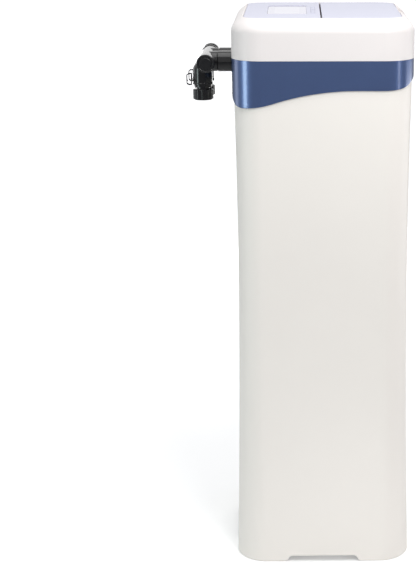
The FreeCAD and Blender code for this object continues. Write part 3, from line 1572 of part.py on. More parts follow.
def motor_pinion():
    """The motor's pinion with its shaft."""
    teeth = SIZES["pinion_teeth"]
    wheel = gear_solid("pinion_wheel", teeth, math.pi / 2 + math.pi / teeth, MOTOR_Y)
    low = BONNET_TOP - S.motor_shaft_deep
    shaft = rod("pinion_shaft", S.motor_shaft, GEAR_LOW + S.gear_thick - low, (0.0, MOTOR_Y, low))
    return keep("motor_pinion", fuse("motor_pinion_solid", wheel, shaft))


def drive_cover():
    """Cover over the gears, open below, standing on the bracket."""
    body = new_body("drive_cover_solid")
    top = DRIVE_PLATE_TOP + S.drive_cover_tall
    pad(body, "drive_cover_pad", drive_outline(0.0), DRIVE_PLATE_TOP, top)
    inside = drive_outline(S.drive_cover_wall)
    pocket_down(body, "drive_cover_inside", inside, top - S.drive_cover_wall, DRIVE_PLATE_TOP)
    return keep("drive_cover", body)


# Water meter in the outlet port

METER_AT = (S.port_spread * PORT_SIDES["outlet"], S.turbine_at, S.port_height)


def flow_turbine():
    """Small turbine wheel that the filtered water turns."""
    body = new_body("flow_turbine_solid")
    start = -(S.turbine_long / 2)
    hub = circle(new_sketch(body, "turbine_hub_sketch", "XY_Plane", start), S.turbine_hub)
    feature(body, "Pad", "turbine_hub", hub, S.turbine_long)
    half = S.turbine_blade / 2
    blade = pad(body, "turbine_blade", rectangle((S.turbine_hub - OVER, S.turbine_radius), (-half, half)),
                start, start + S.turbine_long)
    polar(body, "turbine_blades", blade, S.turbine_blades)
    bore_plane = new_sketch(body, "turbine_bore_sketch", "XY_Plane", start + S.turbine_long)
    bore = circle(bore_plane, S.axle_radius + S.fit)
    feature(body, "Pocket", "turbine_bore", bore, S.turbine_long)
    return keep("flow_turbine", place(body, METER_AT, TO_Y))


def turbine_cage():
    """Two spiders and the axle that hold the turbine in the port."""
    x, y, z = METER_AT
    outer = S.port_bore - S.fit
    reach = S.turbine_long / 2 + S.gap
    long, half = outer - S.cage_ring / 2, S.cage_arm / 2
    first = y - reach - S.cage_thick
    pieces = [rod("cage_axle", S.axle_radius, (reach + S.cage_thick) * 2, (x, first, z), TO_Y)]
    for side, start in ((-1, first), (1, y + reach)):
        deep = (start, start + S.cage_thick)
        pieces.append(tube(f"cage_ring_{side}", outer, outer - S.cage_ring, S.cage_thick, (x, start, z), TO_Y))
        pieces.append(block(f"cage_arm_{side}", (x - long, x + long), deep, (z - half, z + half)))
        pieces.append(block(f"cage_post_{side}", (x - half, x + half), deep, (z - long, z + long)))
    return keep("turbine_cage", fuse("turbine_cage_solid", *pieces))


def flow_sensor():
    """Sensor that counts the turbine's turns, on its seat above the port."""
    x, half = METER_AT[0], S.sensor_side / 2
    deep = (S.turbine_at - half, S.turbine_at + half)
    tall = (S.sensor_seat, S.sensor_seat + S.sensor_tall)
    return keep("flow_sensor", block("sensor_block", (x - half, x + half), deep, tall))


# Drain

def quarter_bend(name, radius):
    """A quarter turn of pipe from +X to +Y at the drain's corner."""
    corner = (S.drain_x - S.drain_bend, S.drain_y + S.drain_bend, S.drain_z)
    bend = ring(name, S.drain_bend, radius, corner, Rotation(Vector(0, 0, 1), -90))
    bend.Angle3 = QUARTER_TURN
    return bend


def drain_run(name, radius):
    """The drain pipe's way at one radius: out of the boss, round the bend and back through the plate."""
    along = rod(f"{name}_along", radius, S.drain_x - S.drain_bend - S.drain_root,
                (S.drain_root, S.drain_y, S.drain_z), TO_X)
    start = S.drain_y + S.drain_bend
    back = rod(f"{name}_back", radius, S.drain_end - start, (S.drain_x, start, S.drain_z), TO_Y)
    return fuse(f"{name}_run", along, quarter_bend(f"{name}_bend", radius), back)


def drain_pipe():
    """Drain pipe with a hose barb at its rear end."""
    barbs = [cone(f"drain_barb_{index}", S.drain_radius + S.barb_rise, S.drain_radius, S.barb_long,
                  (S.drain_x, S.drain_end - S.barb_long * (index + 1), S.drain_z), TO_Y)
             for index in range(SIZES["barbs"])]
    pipe = fuse("drain_outside", drain_run("drain_outer", S.drain_radius), *barbs)
    return keep("drain_pipe", cut("drain_pipe_solid", pipe, drain_run("drain_inner", S.drain_bore)))


def drain_nut():
    """Six-sided nut that holds the drain pipe to the plate."""
    nut = doc.addObject("Part::Prism", "drain_nut_blank")
    nut.Polygon = SIZES["drain_nut_sides"]
    bind(nut, "Circumradius", S.drain_nut_radius)
    bind(nut, "Height", S.drain_nut_thick)
    at = (S.drain_x, PLATE_BACK, S.drain_z)
    place(nut, at, TO_Y)
    bore = rod("drain_nut_bore", S.drain_radius + S.fit, S.drain_nut_thick, at, TO_Y)
    return keep("drain_nut", cut("drain_nut_solid", nut, bore))


# Couplings and bypass valve

def coupling_nut(name, side):
    """Large nut that draws the bypass stub's flange against the valve port."""
    low, high = S.coupling_start, S.coupling_end
    wide = S.port_thread_radius + S.fit
    shoulder = STUB_FLANGE_END + S.fit
    narrow = S.port_radius + S.gap
    bevel = S.coupling_bevel
    body = turned(f"coupling_{name}", [
        (wide, low),
        (S.coupling_radius - bevel, low),
        (S.coupling_radius, low + bevel),
        (S.coupling_radius, high - bevel),
        (S.coupling_radius - bevel, high),
        (narrow, high),
        (narrow, shoulder),
        (wide, shoulder),
    ], (S.port_spread * side, 0.0, S.port_height), TO_Y)
    return keep(f"coupling_{name}", body)


def coupling_gaskets():
    """Flat gasket between each valve port and its bypass stub."""
    rings = [tube(f"port_gasket_{name}", S.port_radius, S.outlet_bore, S.gasket_thick,
                  (S.port_spread * side, S.port_end, S.port_height), TO_Y)
             for name, side in PORT_SIDES.items()]
    return keep("coupling_gaskets", group("port_gaskets", *rings))


def bypass_body():
    """Bypass valve body: cross barrel, two stubs towards the valve and two outlets downwards."""
    y, z = S.barrel_back, S.barrel_height
    end = S.barrel_half
    added = [rod("barrel", S.barrel_radius, end * 2, (-end, y, z), TO_X)]
    added += [rod(f"barrel_rim_{index}", S.barrel_rim_radius, S.barrel_rim_long, (x, y, z), TO_X)
              for index, x in enumerate((-end, end - S.barrel_rim_long))]
    removed = [rod("spool_way", S.spool_bore, end * 2 + OVER * 2, (-end - OVER, y, z), TO_X)]
    slot_half = S.clip_thick / 2 + S.gap
    slot_in = S.adapter_groove
    slot_out = slot_in + S.clip_arm + S.gap * 2
    for name, side in PORT_SIDES.items():
        x = S.port_spread * side
        stub = (x, STUB_START, S.port_height)
        added.append(rod(f"stub_{name}", S.port_radius, y - STUB_START, stub, TO_Y))
        added.append(rod(f"stub_flange_{name}", S.stub_flange_radius, S.stub_flange, stub, TO_Y))
        foot = (x, S.outlet_back, S.outlet_low)
        added.append(rod(f"outlet_{name}", S.outlet_radius, S.outlet_top - S.outlet_low, foot))
        added.append(rod(f"outlet_rim_{name}", S.outlet_rim_radius, S.outlet_rim_tall, foot))
        added.append(cone(f"outlet_cap_{name}", S.outlet_radius, S.outlet_cap_radius, S.outlet_cap,
                          (x, S.outlet_back, S.outlet_top)))
        removed.append(rod(f"stub_bore_{name}", S.outlet_bore, y - STUB_START, stub, TO_Y))
        removed.append(rod(f"outlet_bore_{name}", S.outlet_bore, S.outlet_bore_top - S.outlet_low, foot))
        removed.append(rod(f"outlet_socket_{name}", S.outlet_socket, S.outlet_socket_top - S.outlet_low,
                           foot))
        for hand in (-1, 1):
            ends = sorted((x + slot_in * hand, x + slot_out * hand), key=float)
            removed.append(block(f"clip_slot_{name}_{hand}", tuple(ends),
                                 (S.outlet_back - S.clip_leg - S.gap, S.outlet_back + S.outlet_rim_radius),
                                 (S.clip_height - slot_half, S.clip_height + slot_half)))
    return keep("bypass_body", cut("bypass_body_solid", fuse("bypass_whole", *added), *removed))


SPOOL_RADIUS = S.spool_bore - S.fit
NEAR_FACE = -(S.barrel_half + S.gap)
FAR_FACE = S.barrel_half + S.spool_travel + S.gap


def spool_seal_places():
    """Where the four seals sit along the spool, from the near end."""
    return [-S.spool_seal_out, -S.spool_seal_in, S.spool_seal_in, S.spool_seal_out]


def bypass_spool():
    """Sliding spool with two waists, four seal grooves and a stub at each end for the knobs."""
    half = S.spool_groove / 2
    deep = S.spool_bore - S.seal_radius * 2 - S.slip
    grooves = {seal.number: groove_points(SPOOL_RADIUS, deep, seal, S.seal_radius)
               for seal in spool_seal_places()}
    waists = {x.number: [(SPOOL_RADIUS, x - half), (S.spool_waist, x - half), (S.spool_waist, x + half),
                         (SPOOL_RADIUS, x + half)] for x in (-S.port_spread, S.port_spread)}
    profile = [(0.0, NEAR_FACE - S.knob_stub_long), (S.knob_stub_radius, NEAR_FACE - S.knob_stub_long),
               (S.knob_stub_radius, NEAR_FACE), (SPOOL_RADIUS, NEAR_FACE)]
    for _, points in sorted({**grooves, **waists}.items()):
        profile += points
    profile += [(SPOOL_RADIUS, FAR_FACE), (S.knob_stub_radius, FAR_FACE),
                (S.knob_stub_radius, FAR_FACE + S.knob_stub_long), (0.0, FAR_FACE + S.knob_stub_long)]
    return keep("bypass_spool", turned("bypass_spool", profile, (0.0, S.barrel_back, S.barrel_height), TO_X))


def spool_knob(name, face, way):
    """Round push knob on one end of the spool, with a ring groove on its outer face."""
    outer = face + S.knob_long * way
    stub_hole = S.knob_stub_radius + S.fit
    deep = face + (S.knob_stub_long + S.slip) * way
    edge = S.knob_round
    ring_in, ring_out = S.knob_ring_radius - S.knob_ring_deep, S.knob_ring_radius + S.knob_ring_deep
    low = outer - S.knob_ring_deep * way
    profile = [
        (stub_hole, face),
        (S.knob_radius, face),
        (S.knob_radius, outer - edge * way),
        (S.knob_radius - edge, outer, edge, way),
        (ring_out, outer),
        (ring_out, low),
        (ring_in, low),
        (ring_in, outer),
        (0.0, outer),
        (0.0, deep),
        (stub_hole, deep),
    ]
    return keep(name, turned(name, profile, (0.0, S.barrel_back, S.barrel_height), TO_X))


def spool_seals():
    """Four O-rings in the spool's grooves."""
    rings = [ring(f"spool_seal_{index}", S.spool_bore - S.seal_radius - S.fit, S.seal_radius,
                  (x, S.barrel_back, S.barrel_height), TO_X) for index, x in enumerate(spool_seal_places())]
    return keep("spool_seals", group("spool_seal_set", *rings))


# Outlet adapters, clips and union nuts

def outlet_at(side):
    """The axis of one outlet, on the floor."""
    return (S.port_spread * side, S.outlet_back, 0.0)


def outlet_adapter(name, side):
    """Plug-in pipe adapter with a clip groove, a seal groove and a flange for the union nut."""
    tube_radius = S.outlet_socket - S.slip
    collar_top = S.outlet_low - S.gap
    top = S.outlet_socket_top - S.gap
    half = S.adapter_groove_half
    seal_groove = groove_points(tube_radius, S.outlet_socket - S.seal_radius * 2 - S.slip,
                                S.adapter_seal_height, S.seal_radius)
    profile = [
        (S.adapter_bore, FLANGE_LOW),
        (S.adapter_flange_radius, FLANGE_LOW),
        (S.adapter_flange_radius, FLANGE_TOP),
        (S.adapter_neck, FLANGE_TOP),
        (S.adapter_neck, S.adapter_collar_low),
        (S.adapter_collar_radius, S.adapter_collar_low),
        (S.adapter_collar_radius, collar_top),
        (tube_radius, collar_top),
        (tube_radius, S.clip_height - half),
        (S.adapter_groove, S.clip_height - half),
        (S.adapter_groove, S.clip_height + half),
        (tube_radius, S.clip_height + half),
    ] + seal_groove + [
        (tube_radius, top),
        (S.adapter_bore, top),
    ]
    return keep(f"{name}_adapter", turned(f"{name}_adapter", profile, outlet_at(side)))


def adapter_seals():
    """One O-ring on each adapter."""
    rings = [ring(f"adapter_seal_{name}", S.outlet_socket - S.seal_radius - S.fit, S.seal_radius,
                  (S.port_spread * side, S.outlet_back, S.adapter_seal_height))
             for name, side in PORT_SIDES.items()]
    return keep("adapter_seals", group("adapter_seal_set", *rings))


def retaining_clip(name, side):
    """Clip with two arms through the outlet's slots and a finger loop behind."""
    x, y, z = S.port_spread * side, S.outlet_back, S.clip_height
    inner = S.adapter_groove + S.slip
    outer = inner + S.clip_arm
    span = (z - S.clip_thick / 2, z + S.clip_thick / 2)
    rear = (y + S.clip_back - S.clip_arm, y + S.clip_back)
    arms = [block(f"{name}_clip_arm_{hand}", tuple(sorted((x + inner * hand, x + outer * hand), key=float)),
                  (y - S.clip_leg, y + S.clip_back), span) for hand in (-1, 1)]
    bridge = block(f"{name}_clip_bridge", (x - outer, x + outer), rear, span)
    body = new_body(f"{name}_clip_loop")
    low, high = z - S.clip_loop_down, z + S.clip_loop_up
    start, end = y + S.clip_back - OVER, y + S.clip_loop_out
    loop = new_sketch(body, f"{name}_loop_sketch", "YZ_Plane", x - S.clip_loop_width / 2)
    corner, stroke = S.clip_loop_corner, S.clip_loop_stroke
    draw(loop, loop_outline(start, end, low, high, corner))
    feature(body, "Pad", f"{name}_loop_pad", loop, S.clip_loop_width)
    hole = new_sketch(body, f"{name}_loop_hole_sketch", "YZ_Plane", x + S.clip_loop_width / 2)
    draw(hole, loop_outline(start + stroke, end - stroke, low + stroke, high - stroke, corner - stroke))
    feature(body, "Pocket", f"{name}_loop_hole", hole, S.clip_loop_width)
    return keep(f"{name}_clip", fuse(f"{name}_clip_solid", bridge, body, *arms))


def loop_outline(start, end, low, high, corner):
    """A loop square at its near side and rounded at its far side, in Y and Z."""
    return [
        (start, low),
        (end - corner, low),
        (end, low + corner, corner, 1),
        (end, high - corner),
        (end - corner, high, corner, 1),
        (start, high),
    ]


def union_nut(name, side):
    """Union nut with finger grips that hangs on the adapter's flange."""
    bevel = S.nut_bevel
    low, top = S.nut_low, NUT_TOP
    body = turned(f"{name}_union_nut", [
        (0.0, low),
        (S.nut_wall_radius - bevel, low),
        (S.nut_wall_radius, low + bevel),
        (S.nut_wall_radius, top - bevel),
        (S.nut_wall_radius - bevel, top),
        (0.0, top),
    ], outlet_at(side))
    grip_plane = new_sketch(body, f"{name}_grip_sketch", "XY_Plane", low + bevel)
    grip = circle(grip_plane, S.nut_grip_radius, S.nut_radius - S.nut_grip_radius)
    polar(body, f"{name}_grips", feature(body, "Pad", f"{name}_grip", grip, S.nut_tall - bevel * 2), S.nut_grips)
    seat = top - S.nut_lip
    thread_top = low + S.nut_thread_long
    for part, radius, high, deep in (
            ("thread", S.nut_thread, thread_top, S.nut_thread_long),
            ("relief", S.nut_thread + S.nut_relief, seat, seat - thread_top),
            ("lip", S.adapter_neck + S.gap, top, S.nut_lip)):
        hole = circle(new_sketch(body, f"{name}_{part}_sketch", "XY_Plane", high), radius)
        feature(body, "Pocket", f"{name}_{part}", hole, deep)
    return keep(f"{name}_union_nut", body)


def union_gaskets():
    """Flat gasket under each adapter's flange, inside the union nut."""
    low = FLANGE_LOW - S.gasket_thick
    rings = [tube(f"union_gasket_{name}", S.adapter_flange_radius, S.adapter_bore, S.gasket_thick,
                  (S.port_spread * side, S.outlet_back, low)) for name, side in PORT_SIDES.items()]
    return keep("union_gaskets", group("union_gasket_set", *rings))


# Build, check and write every sub-part

for build in (cabinet_body, decor_band, top_cover, front_lid, lid_hinge_pins, control_panel, display_window,
              display_board, display_module, board_screws, rear_port_plate, port_plate_screws,
              power_socket, pressure_vessel, vessel_boot, gravel_bed, carbon_bed, riser_tube, bottom_strainer,
              top_strainer, neck_seal, valve_body, riser_seal, disc_seal, fixed_disc, moving_disc,
              drive_shaft, bonnet, shaft_seal, bonnet_screws, drive_bracket, drive_motor, drive_gear,
              motor_pinion, drive_cover, flow_turbine, turbine_cage, flow_sensor, drain_pipe, drain_nut,
              coupling_gaskets, bypass_body, bypass_spool, spool_seals, adapter_seals, union_gaskets):
    build()
for number, button in enumerate(BUTTON_NAMES):
    push_button(number, button)
for port, hand in PORT_SIDES.items():
    coupling_nut(port, hand)
    outlet_adapter(port, hand)
    retaining_clip(port, hand)
    union_nut(port, hand)
spool_knob("near_knob", NEAR_FACE, -1)
spool_knob("far_knob", FAR_FACE, 1)

doc.recompute()
for thing in doc.Objects:
    faults = [state for state in thing.State if state in ("Invalid", "Error")]
    if faults:
        raise RuntimeError(f"{thing.Name}: {faults}")
for thing in nodes:
    shape = thing.Shape
    if shape.isNull() or not shape.isValid() or not shape.Solids:
        raise RuntimeError(f"{thing.Label}: no valid shape")
    box = shape.BoundBox
    spans = " ".join(f"{low:.1f}..{high:.1f}" for low, high in (
        (box.XMin, box.XMax), (box.YMin, box.YMax), (box.ZMin, box.ZMax)))
    print(f"{thing.Label:20s} solids {len(shape.Solids):2d} volume {shape.Volume:12.1f} x y z {spans}")
    shape.exportStep(f"parts/{thing.Label}.step")
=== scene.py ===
import math

import bpy
import numpy as np
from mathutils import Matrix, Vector


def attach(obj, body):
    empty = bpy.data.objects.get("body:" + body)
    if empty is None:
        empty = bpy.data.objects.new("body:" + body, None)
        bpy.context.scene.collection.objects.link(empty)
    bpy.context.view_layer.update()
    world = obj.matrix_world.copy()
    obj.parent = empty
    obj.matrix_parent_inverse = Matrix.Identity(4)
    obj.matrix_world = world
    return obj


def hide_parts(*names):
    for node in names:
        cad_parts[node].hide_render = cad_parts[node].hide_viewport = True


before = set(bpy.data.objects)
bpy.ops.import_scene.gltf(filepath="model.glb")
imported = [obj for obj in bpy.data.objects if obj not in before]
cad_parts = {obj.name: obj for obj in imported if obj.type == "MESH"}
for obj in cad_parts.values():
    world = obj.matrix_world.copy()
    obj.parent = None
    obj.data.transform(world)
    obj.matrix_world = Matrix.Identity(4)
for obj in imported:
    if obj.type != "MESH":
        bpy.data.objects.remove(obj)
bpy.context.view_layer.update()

MM = 0.001
STEEP = math.radians(32.0)

# Cabinet, in millimetres. Its outline is a rectangle grown outwards by a corner radius. An inset is the
# distance from that outline inwards.
STRAIGHT_X = 130.0
STRAIGHT_Y = 120.0
CORNER = 60.0
CORNER_STEPS = 16
BODY_TOP = 1064.7
BAND_TOP = 1068.0
REAR_CUT_HALF = 84.0
REAR_CUT_LOW = 1018.0

# Cover and lid, in millimetres
SHOULDER_FOOT = 1120.0
RIM_INSET = 22.5
SEAT_INSET = 24.1
LID_INSET = 25.0
LEDGE_INSET = 33.0
COVER_WALL = 3.5
COVER_CEILING = 1141.5
GRIP_HALF = 52.0
GRIP_FLOOR = 1138.5
SKIRT_GAP_HALF = 98.3
LID_TOP = 1148.0
LID_UNDER = 1144.5
HINGE_Y = -12.0
HINGE_Z = 1139.5
HINGE_RADIUS = 4.5
HINGE_MIDDLES = (-104.0, 104.0)
BEVELS = (0.3, 0, 0, 0.3)  # insets at the four levels of a prism whose ends are bevelled

# Bypass valve, in millimetres
PORT_X = 28.0
PORT_Z = 1047.5
BARREL_Y = 234.0
BARREL_Z = 1050.5
BARREL_RADIUS = 17.0
BARREL_RIM = 18.3
SADDLE_RADIUS = 14.0  # of the cylinder about the barrel's axis in which stubs and outlets end
BORE_CLEARANCE = 17.6  # just clear of the barrel
PORT_BORE = 11.0
OUTLET_Y = 244.0
PORTS = {"inlet": 1, "outlet": -1}


# Meshes

def mesh_piece(name, points, faces, body, material, replaced):
    """An object from points in millimetres and faces; steep edges stay sharp and flats stay flat."""
    mesh = bpy.data.meshes.new(name)
    mesh.from_pydata((np.asarray(points, float) * MM).tolist(), [], faces)
    mesh.validate()
    mesh.polygons.foreach_set("use_smooth", np.ones(len(mesh.polygons), bool))
    mesh.set_sharp_from_angle(angle=STEEP)
    mesh.update()
    piece = bpy.data.objects.new(name, mesh)
    bpy.context.scene.collection.objects.link(piece)
    even = piece.modifiers.new("even_normals", "WEIGHTED_NORMAL")
    even.keep_sharp = True
    mesh.materials.append(material)
    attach(piece, body)
    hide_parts(*replaced)


def skin(rings, cap_start=None, cap_end=None, looped=False):
    """Quads between rows of closed rings, in order. Each end is closed by a fan, or the last row joins the
    first. Rings run anticlockwise about the way they are stacked, so faces point outwards."""
    rows, count = rings.shape[:2]
    points = rings.reshape(-1, 3)
    first = np.arange(rows if looped else rows - 1)[:, None] * count
    column = np.arange(count)[None, :]
    follow = (column + 1) % count
    above = (first + count) % (rows * count)
    quads = np.stack([first + column, first + follow, above + follow, above + column], -1)
    faces = quads.reshape(-1, 4).tolist()
    extra = []
    for centre, start, flip in ((cap_start, 0, True), (cap_end, (rows - 1) * count, False)):
        if centre is None:
            continue
        middle = len(points) + len(extra)
        extra.append(centre)
        edge = np.stack([start + column[0], start + follow[0], np.full(count, middle)], -1)
        faces += (edge[:, ::-1] if flip else edge).tolist()
    if extra:
        points = np.vstack([points, np.array(extra, float)])
    return points, faces


def joined(parts):
    """One list of points and faces from several closed surfaces."""
    points, faces, start = [], [], 0
    for some_points, some_faces in parts:
        points.append(some_points)
        faces += [[start + corner for corner in face] for face in some_faces]
        start += len(some_points)
    return np.vstack(points), faces


def cut_corner(corners, index, ease):
    """The two points an ease away from a corner, towards the corner before it and the corner after it."""
    corner = corners[index]
    before = corners[index - 1] - corner
    after = corners[(index + 1) % len(corners)] - corner
    return (corner + before / np.linalg.norm(before) * ease,
            corner + after / np.linalg.norm(after) * ease)


def eased(points, steps=4, closed=True):
    """A profile with its corners rounded: each (u, v, ease) corner becomes a quadratic curve that starts and
    ends that ease away from the corner."""
    corners = np.array([point[:2] for point in points], float)
    eases = [point[2] if len(point) > 2 else 0.0 for point in points]
    t = np.linspace(0, 1, steps + 1)[:, None]
    line = []
    for index, (corner, ease) in enumerate(zip(corners, eases)):
        at_end = not closed and index in (0, len(corners) - 1)
        if ease <= 0 or at_end:
            line.append(corner[None, :])
            continue
        start, end = cut_corner(corners, index, ease)
        line.append((1 - t) ** 2 * start + 2 * t * (1 - t) * corner + t ** 2 * end)
    return np.vstack(line)


def turned(profile, origin, way, segments=48, looped=True, swell=None):
    """A surface of revolution: each (radius, height) of the profile becomes a ring about the axis. The height
    runs along the axis, and swell, a function of angle, radius and height, is added to the radius."""
    way = Vector(way).normalized()
    turn = np.array(Vector((0, 0, 1)).rotation_difference(way).to_matrix())
    angle = np.linspace(0, 2 * np.pi, segments, endpoint=False)
    radius, height = profile[:, :1], profile[:, 1:2]
    if swell is not None:
        radius = radius + swell(angle[None, :], radius, height)
    flat = np.stack([radius * np.cos(angle), radius * np.sin(angle), height + 0 * angle], -1)
    rings = flat @ turn.T + np.array(origin, float)
    if looped:
        return skin(rings, looped=True)
    ends = [np.array([0, 0, profile[row, 1]]) @ turn.T + np.array(origin, float) for row in (0, -1)]
    return skin(rings, ends[0], ends[1])


def prism(outline, levels, axis="x", insets=None):
    """A flat closed outline of (u, v) points, anticlockwise, carried straight along one axis through the
    levels. At each level the outline shrinks by its inset along its own normals. The ends are flat faces."""
    outline = np.asarray(outline, float)
    ahead, behind = np.roll(outline, -1, 0) - outline, outline - np.roll(outline, 1, 0)
    unit = [np.stack([way[:, 1], -way[:, 0]], -1) / np.linalg.norm(way, axis=1)[:, None]
            for way in (ahead, behind)]
    out = (unit[0] + unit[1]) / (1 + (unit[0] * unit[1]).sum(1))[:, None]
    rings = []
    for place, inset in zip(levels, insets or [0.0] * len(levels)):
        u, v = (outline - out * inset).T
        along = np.full(len(u), place)
        rings.append(np.stack({"x": [along, u, v], "y": [v, along, u], "z": [u, v, along]}[axis], -1))
    points, faces = skin(np.array(rings))
    count = len(outline)
    faces.append(list(range(count))[::-1])
    faces.append(list(range(len(points) - count, len(points))))
    return points, faces


def tube_along(path, section, closed=False):
    """A section carried along a path in one plane: at each point it lies across the way, with its first axis
    along the normal of the path's plane."""
    path = np.asarray(path, float)
    ahead = np.roll(path, -1, 0) - path
    behind = path - np.roll(path, 1, 0)
    if not closed:
        ahead[-1], behind[0] = behind[-1], ahead[0]
    way = ahead / np.linalg.norm(ahead, axis=1)[:, None] + behind / np.linalg.norm(behind, axis=1)[:, None]
    way /= np.linalg.norm(way, axis=1)[:, None]
    normal = np.cross(path[1] - path[0], path[len(path) // 2] - path[0])
    normal /= np.linalg.norm(normal)
    side = np.cross(way, np.broadcast_to(normal, way.shape))
    side /= np.linalg.norm(side, axis=1)[:, None]
    section = np.asarray(section, float)
    rings = (path[:, None, :] + section[None, :, :1] * normal[None, None, :]
             + section[None, :, 1:2] * side[:, None, :])
    if closed:
        return skin(rings, looped=True)
    return skin(rings, path[0], path[-1])


def round_outline(half_u, half_v, corner, steps=5):
    """A rectangle's outline with rounded corners, anticlockwise about its middle."""
    points = []
    for index, (u, v) in enumerate(((1, -1), (1, 1), (-1, 1), (-1, -1))):
        angle = np.linspace(index * np.pi / 2 - np.pi / 2, index * np.pi / 2, steps + 1)
        points.append(np.stack([u * (half_u - corner) + corner * np.cos(angle),
                                v * (half_v - corner) + corner * np.sin(angle)], -1))
    return np.vstack(points)


# The cabinet's outline

def cabinet_columns():
    """The outline's columns, anticlockwise from the front side: base points, outward normals, and the side's
    number, which is -1 at a corner. Columns stand close where an edge bends, and two that stand a nick apart
    make a step."""
    nick = 0.01
    marks = [0.0, 20.0, 39.0, 41.5, 44.0, 46.5, 48.5, 50.2, 51.3, GRIP_HALF - nick, GRIP_HALF + nick, 58.0,
             65.0, 67.0, 70.0, 72.5, 74.5, 77.0, 79.0, 81.0, 82.5, REAR_CUT_HALF - nick,
             REAR_CUT_HALF + nick, 90.0, SKIRT_GAP_HALF - nick, SKIRT_GAP_HALF + nick, 105.0, 112.0, 119.0]
    along = np.array(sorted({-mark for mark in marks} | set(marks)))
    wide = np.concatenate([[-STRAIGHT_X], along, [STRAIGHT_X]])
    deep = np.concatenate([[-STRAIGHT_Y], along, [STRAIGHT_Y]])
    sides = ((wide, -STRAIGHT_Y), (deep, STRAIGHT_X), (-wide, STRAIGHT_Y), (-deep, -STRAIGHT_X))
    base, normal, side = [], [], []
    for index, (run, level) in enumerate(sides):
        place = [run, np.full(len(run), level)]
        out = (0.0, math.copysign(1.0, level))
        if index % 2:
            place, out = place[::-1], out[::-1]
        base.append(np.stack(place, -1))
        normal.append(np.tile(out, (len(run), 1)))
        side += [index] * len(run)
        angle = np.linspace((index - 1) * np.pi / 2, index * np.pi / 2, CORNER_STEPS + 1)[1:-1]
        base.append(np.tile(base[-1][-1], (len(angle), 1)))
        normal.append(np.stack([np.cos(angle), np.sin(angle)], -1))
        side += [-1] * len(angle)
    return np.vstack(base), np.vstack(normal), np.array(side)


BASE, NORMAL, SIDE = cabinet_columns()
FRONT, REAR = SIDE == 0, SIDE == 2
COLUMN_X, COLUMN_Y = BASE[:, 0], BASE[:, 1]
NOTCH = REAR & (np.abs(COLUMN_X) < REAR_CUT_HALF)


def outline_ring(inset, z):
    """One ring of the cabinet's outline: every base point is pushed outwards by the corner radius less the
    inset."""
    reach = CORNER - np.broadcast_to(inset, COLUMN_X.shape)
    plan = BASE + NORMAL * reach[:, None]
    return np.column_stack([plan, np.broadcast_to(z, COLUMN_X.shape)])


def plain_ring(like, radius, z):
    """A circle with one point for each column of another ring, at that point's own bearing."""
    bearing = np.arctan2(like[:, 1], like[:, 0])
    return np.column_stack([radius * np.cos(bearing), radius * np.sin(bearing), np.full(len(like), z)])


def climb(distance, low, high, radius_low, radius_high):
    """A level line that climbs to another by two arcs, hollow first and then crowned, and the length of the
    climb. The distance is measured from its low end."""
    total = radius_low + radius_high
    cosine = 1 - (high - low) / total
    sine = math.sqrt(1 - cosine ** 2)
    run, meet = total * sine, radius_low * sine
    d = np.clip(distance, 0, run)
    hollow = low + radius_low - np.sqrt(np.maximum(radius_low ** 2 - np.minimum(d, meet) ** 2, 0))
    past = run - np.maximum(d, meet)
    crowned = high - radius_high + np.sqrt(np.maximum(radius_high ** 2 - past ** 2, 0))
    return np.where(d < meet, hollow, crowned), run


def arch_height():
    """Height of the cut-out under each side at every column: flat in the middle, two arcs at each end."""
    flat, foot, height = 65.0, 84.0, 13.8
    away = np.where(FRONT | REAR, np.abs(COLUMN_X), np.abs(COLUMN_Y))
    run = foot - flat
    bend = (run ** 2 + height ** 2) / (4 * height)
    d = np.clip(foot - away, 0, run)
    lower = bend - np.sqrt(np.maximum(bend ** 2 - np.minimum(d, run / 2) ** 2, 0))
    upper = height - bend + np.sqrt(np.maximum(bend ** 2 - (run - np.maximum(d, run / 2)) ** 2, 0))
    level = np.where(d < run / 2, lower, upper)
    return np.where((SIDE >= 0) & (away < foot), level, 0.0)


def through(stations):
    """A smooth curve of third degree through four (height, inset) stations."""
    heights, insets = zip(*stations)
    return np.poly1d(np.polyfit(heights, insets, 3))


def slot_half(away, half, bend):
    """Half the width of a slot at a distance from its middle: its ends are quarter circles of radius bend."""
    return np.sqrt(np.maximum(bend ** 2 - np.maximum(away - (half - bend), 0) ** 2, 0))


# Finishes

def adder(tree):
    """A shorthand that adds a node to a tree. A setting is one of the node's properties, and a setting that
    starts with in_ is a socket, by number or by name with _ for a space, and gives its value or its link."""
    def add(kind, **settings):
        """Add a node of this kind with these settings."""
        node = tree.nodes.new(kind)
        for key, value in settings.items():
            if not key.startswith("in_"):
                setattr(node, key, value)
                continue
            label = key[3:].replace("_", " ")
            socket = node.inputs[int(label) if label.isdigit() else label]
            if isinstance(value, bpy.types.NodeSocket):
                tree.links.new(value, socket)
            else:
                socket.default_value = value
        return node

    return add


def node_tree(name):
    """A new material with its tree, its shader, and the shorthand that adds a node."""
    material = bpy.data.materials.new(name)
    material.use_nodes = True
    tree = material.node_tree
    return material, tree, tree.nodes["Principled BSDF"], adder(tree)


def remap(add, value, low, high, start=0.0, end=1.0):
    """A value that runs straight from low to high while another runs from start to end, and holds outside."""
    return add("ShaderNodeMapRange", in_Value=value, in_1=start, in_2=end, in_3=low, in_4=high).outputs[0]


def blend(add, factor, first, second):
    """A colour that runs from the first to the second with a factor."""
    return add("ShaderNodeMix", data_type="RGBA", in_0=factor, in_6=(*first[:3], 1.0),
               in_7=(*second[:3], 1.0)).outputs[2]


def put(tree, shader, **values):
    """Set or link the shader's sockets by name, with _ for a space."""
    for key, value in values.items():
        socket = shader.inputs[key.replace("_", " ")]
        if isinstance(value, bpy.types.NodeSocket):
            tree.links.new(value, socket)
        else:
            socket.default_value = value


